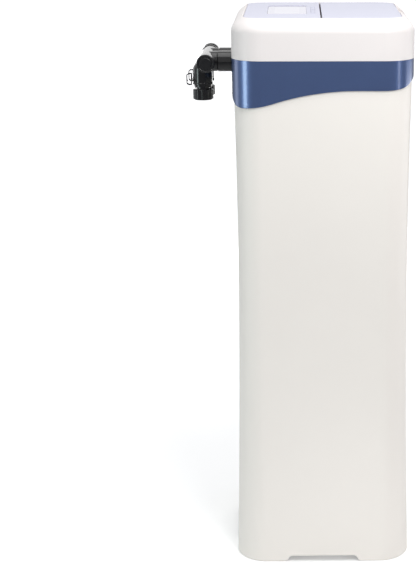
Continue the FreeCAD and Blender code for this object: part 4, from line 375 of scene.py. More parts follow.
def tint(colour, factor):
    """A colour made lighter or darker by a factor."""
    return [min(channel * factor, 1.0) for channel in colour]


def moulded(name, colour, rough=(0.32, 0.42), grain=900.0, grain_depth=0.00002, cloud=0.02, **more):
    """Moulded plastic: faint clouds in its colour, a fine grain in its bump and soft patches in its gloss."""
    material, tree, shader, add = node_tree(name)
    where = add("ShaderNodeTexCoord").outputs["Object"]
    clouds = add("ShaderNodeTexNoise", in_Vector=where, in_Scale=4.0, in_Detail=3.0)
    shade = blend(add, clouds.outputs["Fac"], tint(colour, 1 - cloud), tint(colour, 1 + cloud))
    fine = add("ShaderNodeTexNoise", in_Vector=where, in_Scale=grain, in_Detail=2.0)
    patches = add("ShaderNodeTexNoise", in_Vector=where, in_Scale=38.0, in_Detail=4.0)
    bump = add("ShaderNodeBump", in_Height=fine.outputs["Fac"], in_Strength=0.35, in_Distance=grain_depth)
    put(tree, shader, Base_Color=shade, Roughness=remap(add, patches.outputs["Fac"], *rough),
        Normal=bump.outputs["Normal"], **more)
    return material


def metal_lacquer(name, colour):
    """Dark metallic lacquer: a coloured sparkle of tiny flakes under a clear coat."""
    material, tree, shader, add = node_tree(name)
    where = add("ShaderNodeTexCoord").outputs["Object"]
    flakes = add("ShaderNodeTexVoronoi", in_Vector=where, in_Scale=2600.0)
    spread = remap(add, flakes.outputs["Distance"], 0.8, 1.25, end=0.6)
    shade = add("ShaderNodeVectorMath", operation="SCALE", in_0=colour, in_Scale=spread)
    patches = add("ShaderNodeTexNoise", in_Vector=where, in_Scale=30.0, in_Detail=3.0)
    tilt = add("ShaderNodeBump", in_Height=flakes.outputs["Distance"], in_Strength=0.12, in_Distance=0.00003)
    put(tree, shader, Base_Color=shade.outputs[0], Metallic=0.75,
        Roughness=remap(add, patches.outputs["Fac"], 0.30, 0.38), Normal=tilt.outputs["Normal"],
        Coat_Weight=1.0, Coat_Roughness=0.16)
    return material


def brushed(name, colour, rough=(0.22, 0.38)):
    """Bright metal with fine streaks along one axis, in its colour, its gloss and its bump."""
    material, tree, shader, add = node_tree(name)
    where = add("ShaderNodeTexCoord").outputs["Object"]
    drawn = add("ShaderNodeMapping", in_Vector=where, in_Scale=(3000.0, 3000.0, 90.0))
    streaks = add("ShaderNodeTexNoise", in_Vector=drawn.outputs[0], in_Scale=1.0, in_Detail=3.0)
    streak = streaks.outputs["Fac"]
    bump = add("ShaderNodeBump", in_Height=streak, in_Strength=0.2, in_Distance=0.00001)
    put(tree, shader, Base_Color=blend(add, streak, tint(colour, 0.92), tint(colour, 1.06)), Metallic=1.0,
        Roughness=remap(add, streak, *rough), Normal=bump.outputs["Normal"])
    return material


def granules(name, dark, light, size, depth):
    """A bed of loose grains: cells with their own shade, rounded by the bump."""
    material, tree, shader, add = node_tree(name)
    where = add("ShaderNodeTexCoord").outputs["Object"]
    cells = add("ShaderNodeTexVoronoi", in_Vector=where, in_Scale=1.0 / size, in_Randomness=1.0)
    pick = add("ShaderNodeSeparateColor", in_Color=cells.outputs["Color"])
    bump = add("ShaderNodeBump", in_Height=cells.outputs["Distance"], in_Strength=1.0, in_Distance=depth,
               invert=True)
    put(tree, shader, Base_Color=blend(add, pick.outputs[0], dark, light),
        Roughness=remap(add, pick.outputs[1], 0.75, 0.95), Normal=bump.outputs["Normal"])
    return material


def wound_fibre(name, colour):
    """Resin-bound glass fibre: two sets of slanted bands that cross, under a satin resin."""
    material, tree, shader, add = node_tree(name)
    where = add("ShaderNodeTexCoord").outputs["Object"]
    heights = []
    for slant in (0.9, -0.9):
        turn = add("ShaderNodeMapping", in_Vector=where, in_Rotation=(0.0, slant, 0.0))
        wave = add("ShaderNodeTexWave", bands_direction="Z", in_Vector=turn.outputs[0], in_Scale=55.0,
                   in_Distortion=0.6, in_Detail=1.0)
        heights.append(wave.outputs["Fac"])
    crossed = add("ShaderNodeMath", operation="MAXIMUM", in_0=heights[0], in_1=heights[1]).outputs[0]
    bump = add("ShaderNodeBump", in_Height=crossed, in_Strength=0.5, in_Distance=0.0006)
    put(tree, shader, Base_Color=blend(add, crossed, tint(colour, 0.8), tint(colour, 1.15)),
        Roughness=remap(add, crossed, 0.38, 0.50), Normal=bump.outputs["Normal"], Coat_Weight=0.3)
    return material


def circuit_board(name):
    """Green solder mask with a faint grid of tracks."""
    material, tree, shader, add = node_tree(name)
    where = add("ShaderNodeTexCoord").outputs["Object"]
    tracks = add("ShaderNodeTexBrick", in_Vector=where, in_Scale=60.0, in_Color1=(0.015, 0.13, 0.05, 1),
                 in_Color2=(0.02, 0.17, 0.06, 1), in_Mortar=(0.05, 0.26, 0.10, 1))
    bump = add("ShaderNodeBump", in_Height=tracks.outputs["Fac"], in_Strength=0.4, in_Distance=0.00005)
    put(tree, shader, Base_Color=tracks.outputs["Color"],
        Roughness=remap(add, tracks.outputs["Fac"], 0.30, 0.42), Normal=bump.outputs["Normal"])
    return material


def display_glass(name, frame_colour, middle_colour, half, middle):
    """Glossy display window: a tinted frame round a paler field, a rectangle of these half sizes in metres
    whose edge is softened by a short ramp."""
    material, tree, shader, add = node_tree(name)
    soft = 0.0004
    where = add("ShaderNodeTexCoord").outputs["Object"]
    split = add("ShaderNodeSeparateXYZ", in_Vector=where)
    sides = []
    for axis in range(2):
        shifted = add("ShaderNodeMath", operation="SUBTRACT", in_0=split.outputs[axis], in_1=middle[axis])
        away = add("ShaderNodeMath", operation="ABSOLUTE", in_0=shifted.outputs[0])
        sides.append(remap(add, away.outputs[0], 1.0, 0.0, half[axis] - soft, half[axis] + soft))
    inside = add("ShaderNodeMath", operation="MULTIPLY", in_0=sides[0], in_1=sides[1])
    smears = add("ShaderNodeTexNoise", in_Vector=where, in_Scale=45.0, in_Detail=4.0)
    bump = add("ShaderNodeBump", in_Height=smears.outputs["Fac"], in_Strength=0.1, in_Distance=0.00002)
    put(tree, shader, Base_Color=blend(add, inside.outputs[0], frame_colour, middle_colour),
        Roughness=remap(add, smears.outputs["Fac"], 0.05, 0.10), Normal=bump.outputs["Normal"])
    return material


WHITE_BODY = moulded("white_body", (0.86, 0.818, 0.767), rough=(0.42, 0.50))
WHITE_COVER = moulded("white_cover", (0.775, 0.733, 0.718), rough=(0.40, 0.48))
LID_LACQUER = moulded("lid_lacquer", (0.512, 0.517, 0.632), rough=(0.28, 0.34), grain_depth=0.00001,
                      cloud=0.012)
BAND_LACQUER = metal_lacquer("band_lacquer", (0.050, 0.085, 0.20))
BLACK_GLOSS = moulded("black_gloss", (0.008, 0.008, 0.009), rough=(0.14, 0.24), grain=500.0, cloud=0.1,
                      IOR=1.33, Coat_Weight=1.0, Coat_IOR=1.2, Coat_Roughness=0.08)
BLACK_MATT = moulded("black_matt", (0.03, 0.03, 0.033), rough=(0.45, 0.6), grain=700.0,
                     grain_depth=0.00004, cloud=0.08)
RUBBER = moulded("rubber", (0.02, 0.02, 0.02), rough=(0.6, 0.8), grain=1200.0,
                 grain_depth=0.00003, cloud=0.15)
GREY_PIPE = moulded("grey_pipe", (0.5, 0.51, 0.53), rough=(0.4, 0.5))
WHITE_PARTS = moulded("white_parts", (0.74, 0.74, 0.72), rough=(0.38, 0.5))
CERAMIC = moulded("ceramic", (0.86, 0.84, 0.79), rough=(0.08, 0.14), grain=2000.0, cloud=0.01)
TURBINE_BLUE = moulded("turbine_blue", (0.07, 0.18, 0.5), rough=(0.35, 0.45))
MODULE_DARK = moulded("module_dark", (0.02, 0.022, 0.03), rough=(0.2, 0.3))
STEEL = brushed("steel", (0.60, 0.60, 0.61))
BRASS = brushed("brass", (0.70, 0.52, 0.24))
CARBON = granules("carbon_grains", (0.008, 0.008, 0.009), (0.03, 0.03, 0.032), 0.0018, 0.0008)
GRAVEL = granules("gravel_grains", (0.22, 0.18, 0.13), (0.55, 0.49, 0.40), 0.005, 0.002)
FIBRE = wound_fibre("wound_fibre", (0.16, 0.26, 0.36))
BOARD = circuit_board("circuit_board")
WINDOW = display_glass("window_glass", (0.57, 0.56, 0.67), (0.62, 0.61, 0.71), (0.067, 0.025), (0.0, 0.071))

# All nodes of the frame by finish, those that a new piece replaces among them
FINISHED_NODES = {
    LID_LACQUER: ("front_lid", "control_panel", "menu_button", "down_button", "up_button",
                  "confirm_button"),
    WINDOW: ("display_window",),
    BOARD: ("display_board",),
    MODULE_DARK: ("display_module",),
    STEEL: ("board_screws", "lid_hinge_pins", "port_plate_screws", "bonnet_screws", "drive_motor"),
    BLACK_MATT: ("rear_port_plate", "power_socket", "valve_body", "bonnet", "drive_bracket",
                 "drive_cover", "flow_sensor", "drain_pipe", "drain_nut"),
    FIBRE: ("pressure_vessel",),
    RUBBER: ("vessel_boot", "neck_seal", "riser_seal", "disc_seal", "shaft_seal", "coupling_gaskets",
             "spool_seals", "adapter_seals", "union_gaskets"),
    GRAVEL: ("gravel_bed",),
    CARBON: ("carbon_bed",),
    GREY_PIPE: ("riser_tube",),
    WHITE_PARTS: ("bottom_strainer", "top_strainer", "drive_shaft", "drive_gear", "turbine_cage"),
    CERAMIC: ("fixed_disc", "moving_disc"),
    BRASS: ("motor_pinion",),
    TURBINE_BLUE: ("flow_turbine",),
    BLACK_GLOSS: ("bypass_body", "bypass_spool", "coupling_inlet", "coupling_outlet", "inlet_adapter",
                  "outlet_adapter", "inlet_clip", "outlet_clip", "inlet_union_nut", "outlet_union_nut",
                  "near_knob", "far_knob"),
    WHITE_BODY: ("cabinet_body",),
    BAND_LACQUER: ("decor_band",),
    WHITE_COVER: ("top_cover",),
}


def finish_nodes():
    """Give every node's solid its finish."""
    for material, nodes in FINISHED_NODES.items():
        for node in nodes:
            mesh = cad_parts[node].data
            mesh.materials.clear()
            mesh.materials.append(material)


# Cabinet pieces

def cabinet_shell():
    """The cabinet body as one closed skin. Rings go from the middle of the centre foot outwards under the
    floor, down and round the rim, up the waisted outside, over the mouth, and down the inside to the middle
    of the floor. The waist is a curve of third degree through four heights."""
    under, floor, foot, rim, bevel = 17.0, 22.0, 45.0, 2.5, 2.5
    neck, outer_neck, inner_neck = 1000.0, 3.8, 7.8
    outside = through([(bevel, -4.5), (345.0, 3.5), (780.0, 6.5), (neck, outer_neck)])
    inside = through([(floor, -0.5), (345.0, 7.5), (780.0, 10.5), (neck, inner_neck)])

    def outer_inset(z):
        """Inset of the outside at a height: a bevel at the foot, the waist, then the straight neck."""
        return np.where(z < bevel, -2.0 - z, np.where(z > neck, outer_neck, outside(z)))

    edge = arch_height()
    top = np.where(NOTCH, REAR_CUT_LOW, BODY_TOP)
    like = outline_ring(rim, under)
    rings = [plain_ring(like, foot - 1.0, 0.0), plain_ring(like, foot, 1.0), plain_ring(like, foot, under),
             like, outline_ring(rim, edge), outline_ring(outer_inset(edge), edge)]
    start = np.maximum(edge, bevel)
    for step in (0.0, 0.004, 0.01, 0.02, *np.linspace(0.04, 1.0, 44)):
        z = start + (top - 0.8 - start) * step
        rings.append(outline_ring(outer_inset(z), z))
    for inset, drop in ((4.0, 0.2), (4.6, 0.0), (7.2, 0.0), (inner_neck, 0.6)):
        rings.append(outline_ring(inset, top - drop))
    for step in np.linspace(0.02, 1.0, 30):
        z = top + (floor + 3.0 - top) * step
        rings.append(outline_ring(np.where(z > neck, inner_neck, inside(z)), z))
    rings += [outline_ring(0.4, floor + 0.8), outline_ring(2.5, floor)]
    points, faces = skin(np.array(rings), (0, 0, 0), (0, 0, floor))
    mesh_piece("cabinet_shell", points, faces, "filter", WHITE_BODY, ["cabinet_body"])


def band_edge():
    """Height of the band's lower edge at each column: the wave along the sides, raised over the front and
    the rear by an arch each. Every climb is two arcs, a hollow one and a crowned one."""
    plan = BASE + NORMAL * CORNER
    x, y = plan[:, 0], plan[:, 1]
    low, high = 975.0, 1010.2
    wave_radii, front_radii, rear_radii = (230.0, 540.0), (78.0, 239.0), (40.0, 110.0)
    _, run = climb(np.zeros(1), low, high, *wave_radii)
    wave, _ = climb(run - 65.0 - y, low, high, *wave_radii)
    front_low = high - front_radii[0] + math.sqrt(front_radii[0] ** 2 - 15.0 ** 2)
    front, _ = climb(205.0 - np.abs(x), front_low, 1048.0, *front_radii)
    rear, _ = climb(177.0 - np.abs(x), low, 1008.0, *rear_radii)
    wave = np.where(y < -STRAIGHT_Y, np.maximum(wave, front), wave)
    return np.where(y > STRAIGHT_Y, np.maximum(wave, rear), wave)


def wave_band():
    """The band as one closed loop of rings: round the eased lower edge, up outside, in over the flange and
    down inside."""
    edge = band_edge()
    top = np.where(NOTCH, REAR_CUT_LOW, BAND_TOP)
    shelf = np.where(NOTCH, REAR_CUT_LOW, BODY_TOP)
    wall, ease = 3.5, 1.0
    reach = np.where(NOTCH, wall, 7.8)
    rings = [outline_ring(2.6, edge), outline_ring(ease, edge), outline_ring(0.3, edge + 0.3)]
    for step in np.linspace(0.0, 1.0, 14):
        rings.append(outline_ring(0.0, edge + ease + (top - edge - ease) * step))
    for inset, z in ((reach, top), (reach, shelf), (wall, shelf), (wall, edge + 0.9)):
        rings.append(outline_ring(inset, z))
    points, faces = skin(np.array(rings), looped=True)
    mesh_piece("wave_band", points, faces, "filter", BAND_LACQUER, ["decor_band"])


# Cover and lid

def shoulder_height(inset):
    """Height of the cover's shoulder at an inset: the outline draws in with the square of the climb."""
    climbed = np.linspace(0.0, 28.0, 200)
    return SHOULDER_FOOT + np.interp(inset, 0.0303 * climbed ** 2 - 0.0437 * climbed, climbed)


def cover_shell():
    """The top cover as one closed loop of rings: up the side and the shoulder, over the rim, down the lid's
    seat, along the ledge and back down the inside and round the skirt. The front columns dip into the finger
    grip, a slot with round ends. The rear columns stop at the notch over the ports."""
    away = np.abs(COLUMN_X)
    grip = FRONT & (away < GRIP_HALF)
    reach_in = slot_half(away, GRIP_HALF, 13.0)
    start = np.where(grip, LID_INSET - reach_in, RIM_INSET)
    end = np.where(grip, LID_INSET + np.minimum(reach_in, 4.0), SEAT_INSET)
    bottom = np.where(NOTCH, 1069.0 + slot_half(away, REAR_CUT_HALF, 7.0), BAND_TOP)

    side_top = 1119.4
    rings = [outline_ring(0.4, bottom), outline_ring(0.0, bottom + 0.4)]
    for step in np.linspace(0.1, 1.0, 8):
        rings.append(outline_ring(0.0, bottom + 0.4 + (1119.0 - bottom) * step))
    reach = np.minimum(start, RIM_INSET)
    lip = shoulder_height(reach)
    sweep = np.linspace(0, RIM_INSET, 120)
    for step in np.linspace(0.0, 1.0, 19)[1:]:
        height = side_top + (lip - side_top) * np.sin(step * np.pi / 2)
        inset = np.interp(height, shoulder_height(sweep), sweep)
        rings.append(outline_ring(np.minimum(inset, reach), height))

    wall_in, floor_in = np.minimum(start + 0.3, end), np.minimum(start + 0.8, end)
    for grip_inset, grip_z, rim_inset, rim_z in (
            (wall_in, lip - 0.3, 23.8, LID_TOP), (wall_in, GRIP_FLOOR + 0.4, SEAT_INSET, LID_TOP - 0.3),
            (floor_in, GRIP_FLOOR, SEAT_INSET, LID_UNDER + 0.2), (end, GRIP_FLOOR, 24.2, LID_UNDER),
            (end, LID_UNDER, LID_INSET, LID_UNDER)):
        rings.append(outline_ring(np.where(grip, grip_inset, rim_inset), np.where(grip, grip_z, rim_z)))
    rings.append(outline_ring(LEDGE_INSET, LID_UNDER))

    over_grip = np.interp(away, [GRIP_HALF + 0.1, 58.0], [1135.0, COVER_CEILING])
    under = np.where(FRONT, over_grip, COVER_CEILING)
    slant = COVER_WALL + 15.5 * (under - SHOULDER_FOOT) / (COVER_CEILING - SHOULDER_FOOT)
    open_skirt = REAR & (away < SKIRT_GAP_HALF)
    web, low = np.where(open_skirt, bottom, 1071.0), np.where(open_skirt, bottom, 1050.0)
    skirt_in, skirt_out = (np.where(open_skirt, COVER_WALL, inset) for inset in (11.1, 8.1))
    for inset, z in ((LEDGE_INSET, under), (slant, under), (COVER_WALL, SHOULDER_FOOT), (COVER_WALL, web),
                     (skirt_in, web), (skirt_in, low), (skirt_out, low), (skirt_out, bottom)):
        rings.append(outline_ring(inset, z))
    points, faces = joined([skin(np.array(rings), looped=True)] + hinge_trough())
    mesh_piece("cover_shell", points, faces, "filter", WHITE_COVER, ["top_cover"])


def hinge_arc(start, end, count):
    """Points of an arc about the hinge's axis between two bearings, in degrees."""
    angle = np.radians(np.linspace(start, end, count))
    return np.stack([HINGE_RADIUS * np.cos(angle) + HINGE_Y, HINGE_RADIUS * np.sin(angle) + HINGE_Z], -1)


def hinge_trough():
    """The trough under the lid's rear edge, its two end walls and the four hinge ears."""
    front, rear, foot, thick, lip = -40.0, 8.5, SHOULDER_FOOT, 3.0, 1134.0
    section = [(front, foot), (rear, foot), (rear, LID_UNDER), (rear - thick, LID_UNDER),
               (rear - thick, foot + thick), (front + thick, foot + thick), (front + thick, lip),
               (front, lip)]
    parts = [prism(section, (-166.0, 166.0))]
    end_wall = [(front, foot), (rear, foot), (rear, LID_UNDER), (front, LID_UNDER)]
    for span in ((-168.9, -165.9), (165.9, 168.9)):
        parts.append(prism(end_wall, span))
    ear = np.vstack([hinge_arc(-77.0, 180.0, 24), [(-16.5, 1122.5), (-11.0, 1122.5)]])
    for middle in HINGE_MIDDLES:
        for low in (middle - 9.3, middle + 4.3):
            parts.append(prism(ear, (low, low + 0.3, low + 4.7, low + 5.0), insets=BEVELS))
    return parts


def lid_plan():
    """Outline of the front lid: straight at the split, rounded at its two outer corners, anticlockwise."""
    bend, split = CORNER - LID_INSET, 1.5
    half = STRAIGHT_X + bend
    angle = np.linspace(0, np.pi / 2, 13)
    left = np.stack([-STRAIGHT_X - bend * np.cos(angle), -STRAIGHT_Y - bend * np.sin(angle)], -1)
    right = np.stack([STRAIGHT_X + bend * np.sin(angle), -STRAIGHT_Y - bend * np.cos(angle)], -1)
    return np.vstack([[(half, split), (-half, split)], left, right])


def lid_plate():
    """The hinged lid: a plate whose top edge is rounded in four steps, with two hinge knuckles under its
    rear edge."""
    ease, top = 0.8, 1145.0
    bend = np.linspace(0, np.pi / 2, 5)
    levels = [LID_UNDER, LID_UNDER + 0.3, *(LID_TOP - ease + ease * np.sin(bend))]
    insets = [0.3, 0.0, *(ease - ease * np.cos(bend))]
    parts = [prism(lid_plan(), levels, "z", insets)]
    knuckle = np.vstack([hinge_arc(180.0, 360.0, 20),
                         [(HINGE_Y + HINGE_RADIUS, top), (HINGE_Y - HINGE_RADIUS, top)]])
    for middle in HINGE_MIDDLES:
        levels = (middle - 4.0, middle - 3.7, middle + 3.7, middle + 4.0)
        parts.append(prism(knuckle, levels, insets=BEVELS))
    points, faces = joined(parts)
    mesh_piece("lid_plate", points, faces, "front_lid", LID_LACQUER, ["front_lid"])


# Bypass valve

def valve_piece(name, surface, node, body="filter"):
    """A piece of the bypass valve in place of its node, all of them in the same glossy black."""
    points, faces = surface
    mesh_piece(name, points, faces, body, BLACK_GLOSS, [node])


def saddle_stub(profile, x):
    """A tube turned about a port's axis whose far end follows the cross barrel: every ring point past the
    barrel's wall is held where the saddle's cylinder about the barrel's axis meets it. Where the tube is
    wider than the barrel its end is domed by a quarter of an ellipse."""
    angle = np.linspace(0, 2 * np.pi, 96, endpoint=False)
    wide, dome_start, dome_rise, dome_draw = profile[-1, 0], 228.0, 5.0, 4.0

    def far_end(radius):
        """Where along the port's axis the wall of this radius ends, at each angle."""
        off = PORT_Z - BARREL_Z - radius * np.sin(angle)
        return BARREL_Y - np.sqrt(np.maximum(SADDLE_RADIUS ** 2 - off ** 2, 0))

    rows = [(radius, np.minimum(along, far_end(radius))) for radius, along in profile[:-1]]
    for turn in np.linspace(0, np.pi / 2, 7):
        along = dome_start + dome_rise * math.sin(turn)
        rows.append((wide - dome_draw * (1 - math.cos(turn)), np.minimum(along, far_end(BARREL_RADIUS))))
    rows.append((PORT_BORE, np.minimum(dome_start + dome_rise, far_end(PORT_BORE))))
    rings = [np.stack([x + radius * np.cos(angle), along + 0 * angle, PORT_Z - radius * np.sin(angle)], -1)
             for radius, along in rows]
    return skin(np.array(rings), looped=True)


def saddle_outlet(x):
    """A downward outlet turned about its own axis: every point of its closed top that would pass the cross
    barrel's wall is held where a cylinder about the barrel's axis meets it. That is the saddle's cylinder
    for the outside, and for the ceiling of the bore one that is just clear of the barrel."""
    angle = np.linspace(0, 2 * np.pi, 72, endpoint=False)
    ceiling, top = 1040.0, 1046.0
    bore = [(3.0, ceiling), (7.0, ceiling), (PORT_BORE, ceiling), (PORT_BORE, 1033.0), (PORT_BORE, 1026.0),
            (15.0, 1026.0)]
    outside = eased([(15.0, 1001.0), (20.6, 1001.0, 0.7), (20.6, 1005.0, 0.9), (19.5, 1005.0, 0.6),
                     (19.5, 1036.0, 1.6), (12.0, top, 1.6), (8.0, top), (3.0, top)], closed=False)

    def held(along, y, half):
        """The height, or the wall of the cylinder of this radius where that is lower."""
        off = y - BARREL_Y
        return np.minimum(along, BARREL_Z - np.sqrt(np.maximum(half ** 2 - off ** 2, 0)))

    rings = []
    for half, profile in ((BORE_CLEARANCE, bore), (SADDLE_RADIUS, outside)):
        for radius, along in profile:
            y = OUTLET_Y + radius * np.sin(angle)
            rings.append(np.stack([x + radius * np.cos(angle), y, held(along, y, half)], -1))
    ends = [(x, OUTLET_Y, held(along, np.array(OUTLET_Y), half))
            for along, half in ((ceiling, BORE_CLEARANCE), (top, SADDLE_RADIUS))]
    return skin(np.array(rings), *ends)


def bypass_casting():
    """The bypass valve's body: a cross barrel with a rim at each end, two flanged stubs and two downward
    outlets, each turned about its own axis, with every corner eased."""
    bore, half, shoulder = 11.5, 76.0, 71.0
    barrel = eased([(bore, -half), (BARREL_RIM, -half, 0.7), (BARREL_RIM, -shoulder, 0.7),
                    (BARREL_RADIUS, -shoulder, 0.3), (BARREL_RADIUS, shoulder, 0.3),
                    (BARREL_RIM, shoulder, 0.7), (BARREL_RIM, half, 0.7), (bore, half)])
    parts = [turned(barrel, (0, BARREL_Y, BARREL_Z), (1, 0, 0), 72)]
    stub = eased([(PORT_BORE, 202.0), (18.7, 202.0, 0.4), (18.7, 205.5, 0.6), (17.0, 205.5, 0.5),
                  (17.0, 213.3, 0.3), (20.4, 213.3, 0.8), (20.4, BARREL_Y)])
    for side in PORTS.values():
        parts += [saddle_stub(stub, side * PORT_X), saddle_outlet(side * PORT_X)]
    valve_piece("bypass_casting", joined(parts), "bypass_body")


def push_knobs():
    """Two round push knobs, each turned about the barrel's axis, with a ring groove in the outer face."""
    profile = eased([(0.5, 0.3), (11.4, 0.0, 1.0), (11.9, 1.5, 0.4), (14.2, 1.5, 0.4), (14.7, 0.0, 1.0),
                     (BARREL_RIM, 0.0, 1.9), (BARREL_RIM, 14.5, 0.4), (9.0, 14.5)], closed=False)
    for name, outer, way in (("near_knob", -90.8, 1), ("far_knob", 110.8, -1)):
        knob = turned(profile, (outer, BARREL_Y, BARREL_Z), (way, 0, 0), 72, looped=False)
        valve_piece(f"{name}_turned", knob, name, "bypass_spool")


def coupling_collars():
    """A large round nut on each valve port, turned about the port: bevelled ends and a narrow rear mouth."""
    profile = eased([(19.05, 183.5), (19.8, 183.5), (21.0, 184.7, 0.3), (21.0, 211.8, 0.3), (19.8, 213.0),
                     (17.3, 213.0), (17.3, 205.6), (19.05, 205.6)])
    for name, side in PORTS.items():
        collar = turned(profile, (side * PORT_X, 0, PORT_Z), (0, 1, 0), 72)
        valve_piece(f"coupling_collar_{name}", collar, f"coupling_{name}")


def union_parts():
    """Below each outlet: the plug-in adapter, and a union nut whose wall swells into twelve round grips."""
    adapter = eased([(10.0, 985.55), (16.2, 985.55, 0.3), (16.2, 988.45, 0.3), (13.2, 988.45),
                     (13.2, 996.5, 0.5), (18.0, 996.5, 0.4), (18.0, 1000.7, 0.4), (14.9, 1000.7),
                     (14.9, 1008.0), (12.8, 1008.0), (12.8, 1012.0), (14.9, 1012.0), (14.9, 1016.6),
                     (12.3, 1016.6), (12.3, 1019.4), (14.9, 1019.4), (14.9, 1025.7), (10.0, 1025.7)])
    foot, low, high, top = 970.0, 971.2, 990.8, 992.0
    thread, narrow, wall = 16.6, 18.4, 19.6
    height = np.array([foot, low - 0.1, *np.linspace(low, high, 6), high + 0.1, top])
    radius = np.interp(height, [foot, low, high, top], [narrow, wall, wall, narrow])
    mouth = [(13.5, top), (13.5, 988.5), (17.0, 988.5), (17.0, 983.0), (thread, 983.0)]
    nut = np.vstack([[(thread, foot)], np.stack([radius, height], -1), mouth])
    rib_centre, rib_radius, pitch = 17.7, 3.0, np.pi / 6

    def grips(angle, radius, along):
        """How far the round ribs stand out of the straight part of the wall."""
        away = (angle + pitch / 2) % pitch - pitch / 2
        off = rib_centre * np.sin(away)
        rib = rib_centre * np.cos(away) + np.sqrt(np.maximum(rib_radius ** 2 - off ** 2, 0))
        on_wall = (along > low - 0.05) & (along < high + 0.05) & (radius > narrow)
        return np.where(on_wall & (np.abs(off) < rib_radius), np.maximum(rib - wall, 0), 0)

    for name, side in PORTS.items():
        at = (side * PORT_X, OUTLET_Y, 0)
        valve_piece(f"{name}_adapter_turned", turned(adapter, at, (0, 0, 1), 64), f"{name}_adapter")
        valve_piece(f"{name}_grip_nut", turned(nut, at, (0, 0, 1), 240, swell=grips), f"{name}_union_nut")


def bent(corners, radii, steps=6):
    """A path through corners whose bends are quarter circles: each bend is cut off at its radius and
    replaced by a curve of second degree with a weighted middle."""
    corners = np.asarray(corners, float)
    t = np.linspace(0, 1, steps + 1)[:, None]
    weight = math.sqrt(0.5)
    total = (1 - t) ** 2 + 2 * weight * t * (1 - t) + t ** 2
    path = []
    for index, (corner, radius) in enumerate(zip(corners, radii)):
        if radius <= 0:
            path.append(corner[None, :])
            continue
        start, end = cut_corner(corners, index, radius)
        path.append(((1 - t) ** 2 * start + 2 * weight * t * (1 - t) * corner + t ** 2 * end) / total)
    return np.vstack(path)


def outlet_clips():
    """On each outlet a retaining clip: a square bar bent to a U whose arms pass through the outlet, and a
    flat bar bent to a D-shaped finger loop behind it."""
    bar, strap = round_outline(1.5, 1.5, 0.5, 3), round_outline(3.5, 1.2, 0.6, 3)
    half, tip, back, level = 14.4, 232.0, 265.7, 1010.0
    near, far, low, high = 267.4, 276.3, 1000.2, 1022.8
    for name, side in PORTS.items():
        x = side * PORT_X
        arms = bent([(x - half, tip, level), (x - half, back, level), (x + half, back, level),
                     (x + half, tip, level)], (0, 2.0, 2.0, 0))
        loop = bent([(x, near, low), (x, far, low), (x, far, high), (x, near, high)], (0.8, 4.3, 4.3, 0.8))
        clip = joined([tube_along(arms, bar), tube_along(loop, strap, closed=True)])
        valve_piece(f"{name}_bent_clip", clip, f"{name}_clip")


# Room, camera and lamps

# Name, place, target, width and height, power, and a colour where it isn't white
LAMPS = (
    ("high_softbox", (-1.15, -0.4, 1.75), (-0.17, 0, 1.0), (0.5, 0.5), 10.4),
    ("front_softbox", (-1.75, -2.69, 0.8), (0, 0, 0.55), (0.4, 1.6), 7.0),
    ("right_softbox", (0.9, -2.6, 0.25), (0, 0, 0.4), (1.8, 0.8), 14.0),
    ("rear_softbox", (-1.35, 2.9, 0.65), (0, 0, 0.7), (0.9, 0.8), 15.5, (0.84, 1.0, 0.98)),
    ("back_softbox", (0.9, 2.8, 0.8), (0, 0, 0.8), (1.0, 1.4), 5.4, (0.93, 0.97, 1.0)),
    ("far_softbox", (2.7, 0.2, 0.5), (0, 0, 0.6), (1.6, 0.8), 18.0),
    ("top_softbox", (-0.3, 0.0, 3.1), (0, 0, 1.0), (2.0, 2.0), 38.0),
    ("floor_softbox", (-0.62, -0.1, 0.07), (-0.17, 0, 0.05), (0.6, 0.1), 0.28),
)


def camera_view():
    """The photograph's camera: 86 mm lens, from the cabinet's left, looking down 17 degrees, framed by
    shift."""
    pitch, yaw = math.radians(16.91), math.radians(0.84)
    level = math.cos(pitch)
    way = Vector((level * math.cos(yaw), -level * math.sin(yaw), -math.sin(pitch)))
    data = bpy.data.cameras.new("photo_camera")
    data.sensor_width = 36.0
    data.lens = 86.15
    data.shift_x = -0.195
    data.clip_end = 100.0
    camera = bpy.data.objects.new("photo_camera", data)
    bpy.context.scene.collection.objects.link(camera)
    camera.rotation_mode = "QUATERNION"
    camera.location = (-2.903, 0.042, 1.427)
    camera.rotation_quaternion = way.to_track_quat("-Z", "Y")
    bpy.context.scene.camera = camera


def lamp(name, place, target, size, power, colour=(1.0, 1.0, 1.0)):
    """A large soft lamp aimed at a point."""
    data = bpy.data.lights.new(name, "AREA")
    data.shape = "RECTANGLE"
    data.size, data.size_y = size
    data.energy = power
    data.color = colour
    thing = bpy.data.objects.new(name, data)
    bpy.context.scene.collection.objects.link(thing)
    thing.location = place
    thing.rotation_mode = "QUATERNION"
    thing.rotation_quaternion = (Vector(target) - Vector(place)).to_track_quat("-Z", "Y")


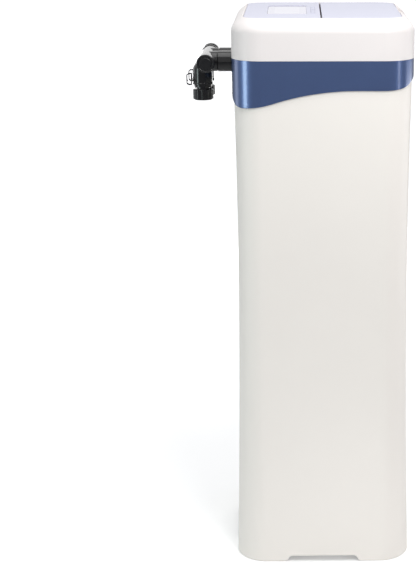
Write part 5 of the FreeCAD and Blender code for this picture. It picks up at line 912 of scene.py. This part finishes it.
def studio():
    """White room: the camera, mirrors and glass see plain white, and soft lamps and an even sky light the
    object."""
    world = bpy.data.worlds.new("white_room")
    bpy.context.scene.world = world
    world.use_nodes = True
    world.node_tree.nodes.clear()
    add = adder(world.node_tree)
    path = add("ShaderNodeLightPath")
    seen = path.outputs["Is Camera Ray"]
    for kind in ("Is Glossy Ray", "Is Transmission Ray"):
        seen = add("ShaderNodeMath", operation="MAXIMUM", in_0=seen, in_1=path.outputs[kind]).outputs[0]
    sky = add("ShaderNodeBackground", in_Color=(0.93, 0.95, 1.0, 1), in_Strength=0.32)
    plain = add("ShaderNodeBackground", in_Color=(1, 1, 1, 1), in_Strength=1.0)
    choose = add("ShaderNodeMixShader", in_0=seen, in_1=sky.outputs[0], in_2=plain.outputs[0])
    add("ShaderNodeOutputWorld", in_Surface=choose.outputs[0])
    for settings in LAMPS:
        lamp(*settings)


def floor():
    """A wide pale floor that keeps the object's shadow. It glows to the camera alone, more with the distance
    from the object's middle, so that it shows white wherever nothing shades it, and a little less again close
    round the base: a painted contact shadow round the foot and under the arches."""
    mesh = bpy.data.meshes.new("floor")
    angle = np.linspace(0, 2 * np.pi, 96, endpoint=False)
    wide = 40
    rim = np.stack([wide * np.cos(angle), wide * np.sin(angle), 0 * angle], -1)
    mesh.from_pydata(rim.tolist(), [], [list(range(len(rim)))])
    ground = bpy.data.objects.new("floor", mesh)
    bpy.context.scene.collection.objects.link(ground)
    material, tree, shader, add = node_tree("pale_floor")
    where = add("ShaderNodeTexCoord").outputs["Object"]
    away = add("ShaderNodeVectorMath", operation="LENGTH", in_0=where).outputs["Value"]
    rise = remap(add, away, 0.31, 0.82, 0.6, 3.0)
    # Painted shadow: towards the base the glow falls to 0.85 of its level (full at 0.24 m, 0.85 at 0.165 m),
    # a darker rim of floor at the foot and under the arches
    under = remap(add, away, 0.85, 1.0, 0.165, 0.24)
    level = add("ShaderNodeMath", operation="MULTIPLY", in_0=under, in_1=rise)
    seen = add("ShaderNodeLightPath").outputs["Is Camera Ray"]
    glow = add("ShaderNodeMath", operation="MULTIPLY", in_0=seen, in_1=level.outputs[0])
    put(tree, shader, Base_Color=(0.93, 0.93, 0.93, 1), Roughness=0.9, Specular_IOR_Level=0.1,
        Emission_Color=(1, 1, 1, 1), Emission_Strength=glow.outputs[0])
    mesh.materials.append(material)


camera_view()
studio()
floor()
finish_nodes()
cabinet_shell()
wave_band()
cover_shell()
lid_plate()
bypass_casting()
push_knobs()
coupling_collars()
union_parts()
outlet_clips()

bpy.context.scene.view_settings.view_transform = "Standard"
